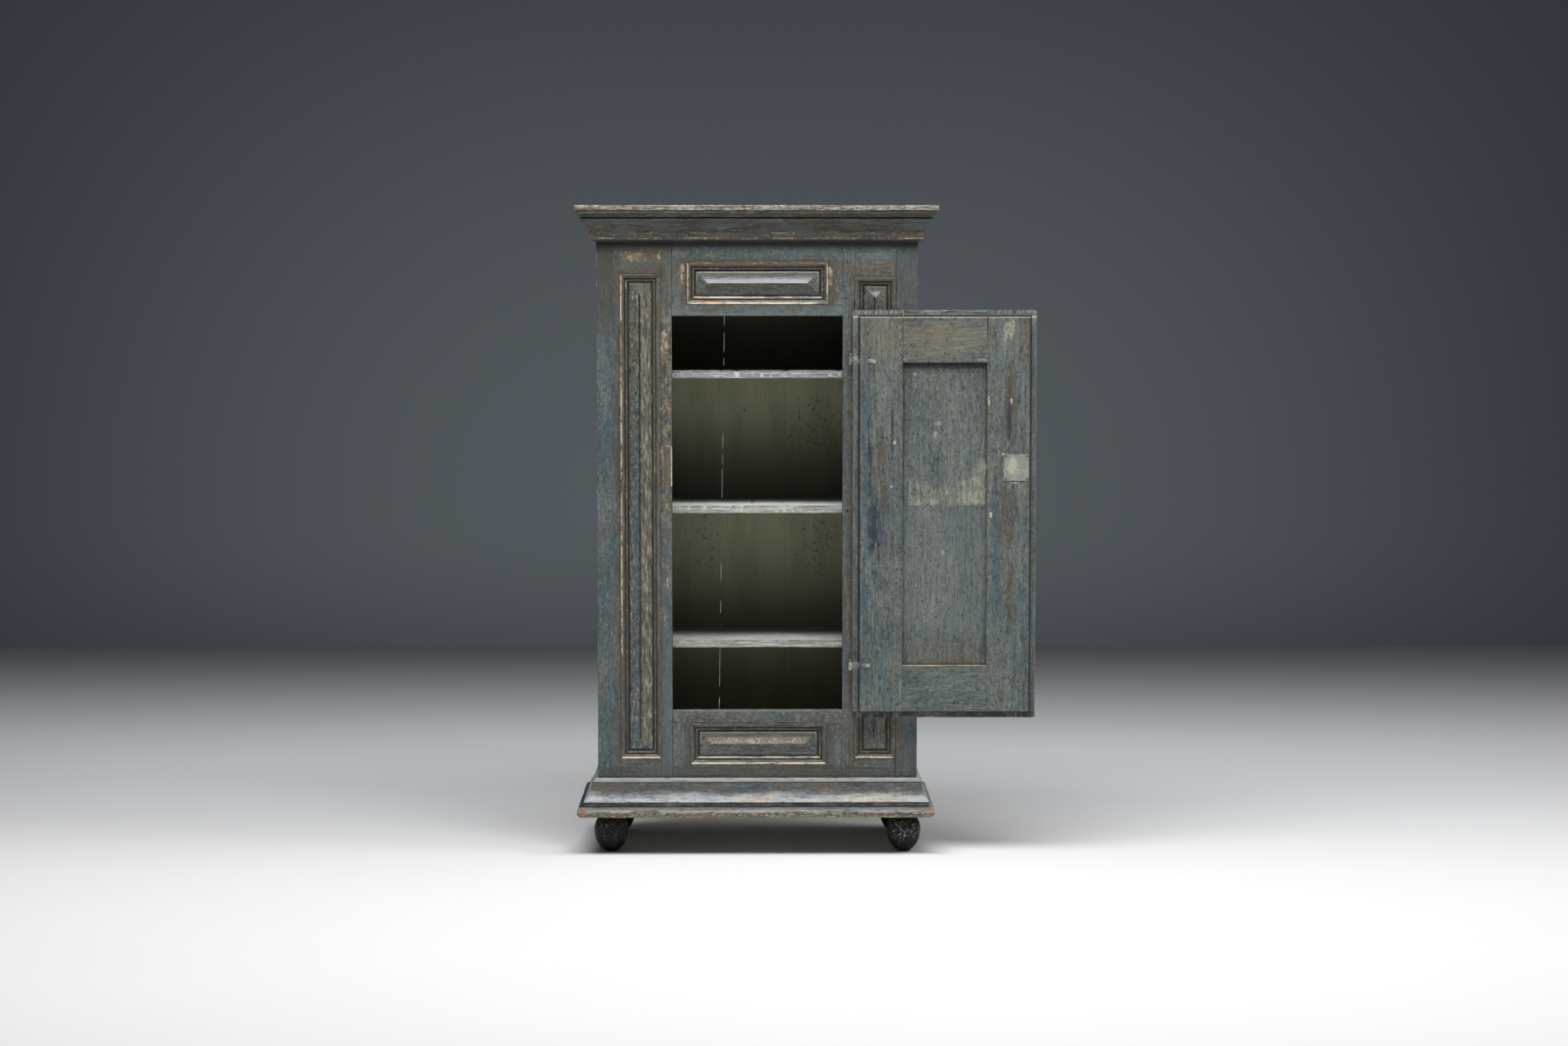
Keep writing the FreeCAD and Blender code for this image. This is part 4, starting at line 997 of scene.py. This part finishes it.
# Shelves
# Three softwood boards on cleats, under thick pale blue-grey paint that has chipped off the front edge.
# The cleats, the floor and the inner faces of the case have the same paint, thinner and dirtier.


def shelf_paint(name, seed, pale, painted_highlight, chipped, node):
    """Streaked paint on a shelf, chipped along its front edge, painted lighter at the front as a highlight
    and darker at the back as shade.
    """
    finish = Finish(name, seed, pale)
    y, z = finish.y, finish.z
    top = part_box(node)[1].z
    size = grain_sizes["x"]
    streaks = finish.noise(size(0.004, 0.09), 6.0, 0.7)
    flakes = finish.noise(size(0.006, 0.022), 6.0, 0.72)
    dust = finish.noise((0.06, 0.06, 0.03), 4.0)
    finish.coat((140, 152, 168), dust.ramp(0.44, 0.6) * 0.7)
    finish.coat((206, 208, 200), streaks.ramp(0.52, 0.68) * 0.6)
    finish.coat((112, 116, 124), streaks.ramp(0.44, 0.3) * 0.6)
    in_the_light = y.ramp(0.02, -0.06)
    # Painted highlight on the front part, where the light reaches the shelf
    finish.coat(painted_highlight, in_the_light * dust.ramp(0.3, 0.55) * 0.8)
    edge_face = y.ramp(-0.1755, -0.1766)
    finish.coat(pale, edge_face)
    finish.mottle(edge_face, [
        ((104, 108, 114), streaks, 0.46, 0.38, 0.85),
        ((214, 216, 208), streaks, 0.54, 0.6, 0.85),
    ])
    bare = edge_face * chipped
    scabs = finish.noise(size(0.0045, 0.01), 5.0, 0.8)
    finish.mottle(bare, [
        ((94, 92, 90), scabs, 0.57, 0.62, 0.8),
        (cream, flakes, 0.57, 0.62, 0.8),
        ((96, 70, 60), flakes, 0.635, 0.67, 0.9),
    ])
    top_line = z.near(top - 0.0012, 0.0006, 0.0022) * y.ramp(-0.168, -0.174)
    finish.coat((98, 64, 58), top_line * flakes.ramp(0.46, 0.54) * 0.85)
    # Painted shade towards the back
    shaded_back = y.ramp(-0.03, 0.1)
    finish.coat((120, 122, 112), shaded_back * 0.6)
    return finish.surface(0.45 + flakes * 0.25, flakes * 0.6 + streaks * 0.4, 0.0012)


# The tone of the painted highlight on the front of the shelves and the floor
lit_pale = (214, 216, 206)
# Each shelf's ground tone, and the tone of the painted highlight on its front part
shelf_tones = [
    ((152, 154, 148), (184, 188, 178)), ((158, 166, 164), lit_pale), ((146, 151, 157), lit_pale),
]
for number, (pale, painted_highlight) in enumerate(shelf_tones, 1):
    node = "shelf_%d" % number
    finish = shelf_paint("shelf_paint_%d" % number, 310 + number * 10, pale, painted_highlight, 1.0, node)
    weathered(node, finish, {0: 0.006}, 0.0008, chip=0.0022, chip_length=0.009)
floor_paint = shelf_paint("floor_paint", 350, (150, 152, 146), lit_pale, 0.5, "floor_board")
dress("floor_board", floor_paint)
dress("shelf_cleats", floor_paint)

# Door
# Two stiles and two rails, tenoned and pegged, round a panel that is fielded outside and flat inside.
# Its rebated lip covers the frame. The inner face, which shows when the door is folded back, has thick
# blue-grey paint, stained brown at the top, streaked blue at the hinge side and scraped in places.

lip_low, lip_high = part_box("door_hinge_stile")[0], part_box("door_lock_stile")[1]
tongue_inset = 0.018
tongue_low = lip_low + Vector((tongue_inset, 0.0, tongue_inset))
tongue_high = lip_high - Vector((tongue_inset, 0.0, tongue_inset))
sight_low = Vector((0.3825, 0.0, 0.5055))
sight_high = Vector((0.6055, 0.0, 1.3065))


def door_paint(name, seed, grain):
    """The door's paint: its finish, its relief and the mask of the inner face, which alone is stained."""
    finish = Finish(name, seed, (106, 114, 109))
    x, y, z = finish.x, finish.y, finish.z
    inner = y.ramp(-0.215, -0.22)
    high_up = z.ramp(0.9, 1.2)
    low_down = z.ramp(1.22, 0.9)
    warm = 0.3 + z.ramp(1.2, 1.4) * 0.45 + x.ramp(0.62, 0.7) * 0.15
    cool = 0.45 + low_down * 0.3
    relief = old_paint(finish, grain, cool, warm, 0.95)
    size = grain_sizes[grain]
    smears = finish.noise(size(0.02, 0.1), 5.0, 0.65)
    drips = finish.noise(size(0.006, 0.07), 5.0, 0.7)
    ochre_top = finish.patches((0.335, 1.37, 0.05, 0.05), (0.49, 1.362, 0.13, 0.05))
    finish.coat((128, 119, 96), ochre_top * inner * 0.45)
    brown = finish.patches(
        (0.668, 1.2, 0.016, 0.13), (0.655, 0.9, 0.03, 0.09),
        (0.33, 1.00, 0.018, 0.14), (0.666, 0.68, 0.01, 0.09),
    )
    finish.coat((88, 74, 58), brown * smears.ramp(0.4, 0.54) * inner * 0.7)
    blue = finish.patches(
        (0.287, 1.17, 0.016, 0.16), (0.318, 0.85, 0.03, 0.1),
        (0.283, 0.8, 0.008, 0.3), (0.63, 0.8, 0.012, 0.18),
    )
    finish.coat((60, 82, 100), blue * drips.ramp(0.42, 0.54) * inner * 0.75)
    dark = finish.patches(
        (0.3555, 1.13, 0.004, 0.11, 0.8), (0.31, 0.86, 0.018, 0.09),
        (0.664, 1.17, 0.006, 0.08), (0.296, 1.05, 0.006, 0.12),
    )
    finish.coat((28, 38, 52), dark * drips.ramp(0.4, 0.52) * inner * 0.85)
    finish.coat(pale_paint, drips.ramp(0.56, 0.7) * inner * 0.45)
    scraped = finish.patches(
        (0.668, 1.205, 0.004, 0.008), (0.6095, 1.205, 0.003, 0.016), (0.36, 1.095, 0.005, 0.006),
        (0.615, 0.905, 0.004, 0.01), (0.353, 0.98, 0.004, 0.004), (0.6035, 1.03, 0.003, 0.012),
        (0.596, 0.515, 0.003, 0.007), (0.648, 1.066, 0.006, 0.004), (0.676, 0.99, 0.012, 0.003),
    )
    rub_through(finish, scraped * inner * 0.75)
    reach = z + (smears - 0.5) * 0.09
    scrape = (x + finish.ragged * 0.004).between(0.6505, 0.6775, 0.0015)
    scrape = scrape * reach.between(1.353, 1.42, 0.002)
    scrape = scrape * (drips + z.ramp(1.36, 1.41) * 0.25).ramp(0.5, 0.56) * inner
    finish.coat((176, 172, 146), scrape * (finish.ragged.ramp(0.4, 0.54) * 0.5 + 0.3))
    sides, ends = beyond(finish, tongue_low, tongue_high)
    tongue = sides.greatest(ends)
    lip_sides, lip_ends = beyond(finish, lip_low, lip_high)
    lip = lip_sides.greatest(lip_ends)
    top_arris = ends.near(0.0, 0.001, 0.0022) * high_up
    arris = any_of(
        tongue.near(0.0, 0.0008, 0.0022) * 0.26, top_arris * 0.8,
        lip.ramp(-0.0024, -0.0006) * 0.22, lip_ends.ramp(-0.0024, -0.0006) * high_up * 0.5,
    )
    on_lip = tongue.ramp(0.003, 0.006)
    finish.coat((122, 134, 134), on_lip * z.ramp(1.38, 1.41) * 0.4)
    finish.coat(pale_paint, lip.ramp(-0.003, -0.0012) * inner * 0.3)
    lip_top = lip_ends.ramp(-0.0105, -0.0085) * high_up * inner
    finish.mottle(lip_top, [
        (grime_and_shade, drips, 0.47, 0.42, 0.7),
        ((168, 172, 160), drips, 0.53, 0.58, 0.7),
    ])
    rub_through(finish, arris)
    finish.coat((202, 202, 182), top_arris * inner * drips.ramp(0.34, 0.44) * 0.75)
    # Painted shade in the step round the tongue, and along the lip under the tongue at the bottom
    tongue_step_shade = tongue.between(0.0008, 0.0042, 0.002) * 0.85
    shaded_low_lip = ends.ramp(0.0005, 0.0015) * z.ramp(0.5, 0.4)
    tongue_step_shade = tongue_step_shade.greatest(shaded_low_lip * smears.ramp(0.62, 0.44) * 0.95)
    finish.coat(grime_and_shade, tongue_step_shade * inner)
    rim_across, rim_upright = beyond(finish, sight_low, sight_high)
    rim = rim_across.greatest(rim_upright)
    sill = rim_upright.near(0.0, 0.0008, 0.002) * z.ramp(0.9, 0.6) * rim_across.ramp(0.003, 0.0)
    rub_through(finish, sill * 0.75 * inner)
    joint = rim_across.near(0.0, 0.0004, 0.0008) * rim_upright.ramp(0.0, 0.001)
    crumbs = rim_across.near(0.0, 0.0018, 0.0016) * rim_upright.ramp(0.0, 0.001) * high_up
    rub_through(finish, crumbs * 0.5 * inner)
    open_joint = x.near(sight_high.x, 0.001, 0.0006) * z.between(1.378, 1.424, 0.003)
    finish.coat(grime_and_shade, joint.greatest(open_joint) * (0.55 + open_joint * 0.45))
    # Painted shade inside the rebate round the panel, deepest under the top rail
    inside = rim.ramp(0.0, -0.0008)
    shade = rim.ramp(-0.01, -0.0005) * inside
    shadow_under_rail = rim_upright.ramp(-0.022, -0.004) * high_up * inside
    finish.coat(grime_and_shade, (shade * 0.55).greatest(shadow_under_rail * 0.8))
    return finish, relief, inner


def speckled(name, seed, grain):
    """The door's paint with dark specks, for its stiles and rails."""
    finish, relief, inner = door_paint(name, seed, grain)
    specks = finish.noise((0.007, 0.007, 0.012), 4.0, 0.7)
    clusters = finish.noise((0.03, 0.03, 0.08), 4.0)
    specked = specks.ramp(0.575, 0.61) * clusters.ramp(0.42, 0.54) * inner
    finish.coat((42, 50, 56), specked * 0.75)
    return finish.surface(0.42 + finish.ragged * 0.22, relief, 0.0009)


def door_panel_paint():
    """The door's paint on its panel, with a scraped sheet of old paint and drips below it."""
    finish, relief, inner = door_paint("door_panel_paint", 460, "z")
    x, z = finish.x, finish.z
    finish.coat((126, 134, 130), z.between(0.62, 0.9, 0.05) * inner * 0.3)
    long_drips = finish.noise((0.012, 0.012, 0.12), 5.0, 0.65)
    sheet = x.between(0.395, 0.598, 0.006) * (z + finish.ragged * 0.012).ramp(0.932, 0.94)
    sheet = sheet * z.ramp(1.12, 1.04)
    left_run = x.between(0.402, 0.47, 0.016) * z.ramp(1.005, 0.975)
    thin_run = x.between(0.486, 0.508, 0.01) * z.ramp(1.13, 1.07) * 0.7
    sheet = sheet * any_of(left_run, x.ramp(0.505, 0.55), thin_run)
    height_share = z.ramp(1.1, 0.94)
    clots = finish.noise((0.022, 0.022, 0.03), 5.0, 0.7)
    drip_depth = long_drips * 0.5 + clots * 0.5 + height_share * 0.14 + x.ramp(0.5, 0.6) * 0.05
    finish.coat((146, 151, 136), sheet * drip_depth.ramp(0.55, 0.66) * inner * 0.55)
    finish.coat((186, 182, 158), sheet * drip_depth.ramp(0.66, 0.71) * inner * 0.5)
    bottom_dirt = z.ramp(0.6, 0.51) * finish.ragged.ramp(0.35, 0.6)
    finish.coat((110, 96, 76), bottom_dirt * inner * 0.7)
    pits = finish.noise((0.006, 0.006, 0.008), 3.0, 0.6)
    finish.coat((38, 48, 54), pits.ramp(0.6, 0.64) * finish.ragged.ramp(0.46, 0.54) * 0.85)
    scars = [
        (0.476, 1.145, 0.01, 0.006), (0.47, 1.115, 0.006, 0.01), (0.49, 0.805, 0.005, 0.005),
        (0.415, 1.275, 0.005, 0.004),
    ]
    for scar in scars:
        finish.coat(pale_paint, finish.patch(*scar) * inner * 0.8)
    return finish.surface(0.42 + finish.ragged * 0.25, relief - pits * 0.3, 0.001)


door_upright = speckled("door_paint_upright", 400, "z")
door_level = speckled("door_paint_level", 430, "x")
for name in ("door_hinge_stile", "door_lock_stile"):
    weathered(name, door_upright, {2: 0.012}, 0.0004, chip=0.0012)
for name in ("door_top_rail", "door_bottom_rail"):
    weathered(name, door_level, {0: 0.012}, 0.0004, chip=0.0012)
weathered("door_panel", door_panel_paint(), {2: 0.02, 0: 0.02}, 0.0006)
dress("door_moulding", moulding_finish)

# Hinges and lock plate
# Two smith-made lift-off hinges: a pin with a ball finial on a spike in the frame, and an eye whose
# strap is driven through the stile and bent over. Both are painted with the case. The pale plate over
# the old lock is thin sheet iron on four small nails.


def painted_metal(name, seed, tone, pale, chip_from):
    """Dusty paint on iron, chipped to the dark metal. Returns its finish and its relief."""
    finish = Finish(name, seed, tone)
    dabs = finish.noise((0.005, 0.005, 0.005), 6.0, 0.7)
    dust = finish.noise((0.02, 0.02, 0.02), 4.0)
    finish.coat(pale, dust.ramp(0.44, 0.6))
    finish.coat(cream, dabs.ramp(0.6, 0.68) * 0.7)
    finish.coat((46, 40, 36), dabs.ramp(chip_from, chip_from - 0.05) * 0.9)
    return finish, dabs


hinge, hinge_dabs = painted_metal("hinge_paint", 500, (112, 120, 116), (172, 170, 156), 0.42)
hinge_finish = hinge.surface(0.5, hinge_dabs, 0.0008)
for name in ("hinge_pintle_upper", "hinge_pintle_lower", "hinge_eye_upper", "hinge_eye_lower"):
    dress(name, hinge_finish)

plate, plate_dabs = painted_metal("plate_paint", 510, (136, 143, 138), (156, 158, 146), 0.36)
smear = plate.patch(0.674, 1.03, 0.015, 0.025, 2.6)
plate.coat((196, 192, 168), smear * 0.65)
plate_sides = abs(plate.x - 0.6825).ramp(0.0315, 0.0338)
plate_edge = plate_sides.greatest(abs(plate.z - 1.03).ramp(0.0335, 0.0358))
plate.coat((66, 58, 50), plate_edge * plate_dabs.ramp(0.4, 0.56) * 0.8)
plate_finish = plate.surface(0.45, plate_dabs, 0.0006)
weathered("lock_cover_plate", plate_finish, {0: 0.006, 2: 0.006}, 0.0003)
dress("cover_plate_nails", bare_iron)
dress("keyhole_plate", bare_iron)

stud_places = [(0.239, -0.2041, 0.9125)]
nail_heads("frame_stud", stud_places, 0.0052, 0.0008, bare_iron)

# Floor, backdrop, light and camera
# A pale studio floor that ends some way behind the cupboard, painted darker towards the back as shade, and
# a slate wall over it, brighter in the middle, with a painted spot of light behind the cupboard, which
# shows through the split in its back.
# One large soft lamp above the front, a small one at the right, and a dim one behind that leaves the floor
# alone.

floor_back = 4.9
floor_sides = 9.0
spot_centre = -0.155
bright_floor = (250, 250, 250)
floor_mesh = bpy.data.meshes.new("floor")
floor_mesh.from_pydata(
    [(-floor_sides, -floor_sides, 0.0), (floor_sides, -floor_sides, 0.0),
     (floor_sides, floor_back, 0.0), (-floor_sides, floor_back, 0.0)],
    [], [(0, 1, 2, 3)],
)
floor = put_in_scene("floor", floor_mesh)
floor_finish = Finish("floor", 600, bright_floor)
# The floor is painted darker towards the back, as painted shade of the light falling off
floor_finish.coat((228, 230, 233), floor_finish.y.ramp(-0.8, 1.4))
floor_finish.coat((118, 121, 126), floor_finish.y.ramp(1.6, 5.2))
# A painted spot of light on the floor, under the spot on the wall
light_spot_on_floor = floor_finish.x.near(spot_centre, 0.05, 0.05) * floor_finish.y.ramp(2.6, 3.2)
floor_finish.coat(bright_floor, light_spot_on_floor)
scuff = floor_finish.noise((0.4, 0.4, 0.4), 5.0)
floor_mesh.materials.append(floor_finish.surface(0.62 + scuff * 0.1, scuff, 0.0002))

wall_mesh = bpy.data.meshes.new("wall")
wall_height = 6.0
wall_mesh.from_pydata(
    [(-floor_sides, floor_back, 0.0), (floor_sides, floor_back, 0.0),
     (floor_sides, floor_back, wall_height), (-floor_sides, floor_back, wall_height)],
    [], [(0, 1, 2, 3)],
)
wall = put_in_scene("wall", wall_mesh)
wall_finish = Finish("wall", 610, (46, 50, 55))
glow = abs(wall_finish.x).ramp(4.6, 0.6) * wall_finish.z.ramp(4.3, 0.7) * wall_finish.z.ramp(-0.6, 0.55)
wall_finish.coat((82, 87, 91), glow)
# A painted spot of light on the glowing wall, which shows through the split in the back
spot_light = wall_finish.x.near(spot_centre, 0.05, 0.05) * wall_finish.z.ramp(1.6, 1.45)
wall_finish.coat((158, 160, 160), spot_light)
seen_by_rays = wall_finish.node("ShaderNodeLightPath")
reflected = Reading(wall_finish, seen_by_rays.socket.node.outputs["Is Glossy Ray"])
wall_tone = wall_finish.layer(srgb(40, 40, 40), wall_finish.colour, seen_by_rays.greatest(reflected))
glowing = wall_finish.node("ShaderNodeEmission", None, {"Color": wall_tone})
wall_finish.node("ShaderNodeOutputMaterial", None, {"Surface": glowing})
wall_mesh.materials.append(wall_finish.material)

world = bpy.data.worlds.new("studio")
bpy.context.scene.world = world
world.use_nodes = True
ambient = 0.07
background = world.node_tree.nodes["Background"]
rays = world.node_tree.nodes.new("ShaderNodeLightPath")
backdrop = world.node_tree.nodes.new("ShaderNodeMix")
backdrop.data_type = "RGBA"
backdrop.inputs[6].default_value = (ambient, ambient, ambient, 1.0)
backdrop.inputs[7].default_value = srgb(62, 67, 72)
world.node_tree.links.new(rays.outputs["Is Camera Ray"], backdrop.inputs[0])
world.node_tree.links.new(backdrop.outputs[2], background.inputs["Color"])


def softbox(name, place, target, width, height, power):
    """A soft rectangular lamp, aimed at a point."""
    lamp = bpy.data.lights.new(name, "AREA")
    lamp.shape = "RECTANGLE"
    lamp.size = width
    lamp.size_y = height
    lamp.energy = power
    carrier = put_in_scene(name, lamp)
    aim = (Vector(target) - Vector(place)).to_track_quat("-Z", "Y")
    carrier.matrix_world = Matrix.Translation(place) @ aim.to_matrix().to_4x4()
    return carrier


softbox("key", (-0.3, -1.9, 4.8), (0.0, -0.2, 0.9), 5.0, 1.6, 256.0)
softbox("fill", (3.4, -0.9, 4.0), (0.0, -0.2, 0.9), 1.8, 1.4, 74.0)
rear = softbox("rear", (1.4, 4.2, 3.6), (0.0, 0.0, 0.9), 2.5, 2.0, 110.0)
spared = bpy.data.collections.new("spared_by_rear")
spared.objects.link(floor)
spared.collection_objects[0].light_linking.link_state = "EXCLUDE"
rear.light_linking.receiver_collection = spared

camera_data = bpy.data.cameras.new("camera")
camera_data.lens = 74.84
camera_data.sensor_width = 36.0
camera = put_in_scene("camera", camera_data)
camera.location = (-0.004, -8.807, 1.484)
camera.rotation_euler = (radians(90 - 4.007), 0.0, radians(-0.497))
bpy.context.scene.camera = camera
bpy.context.scene.view_settings.view_transform = "Standard"
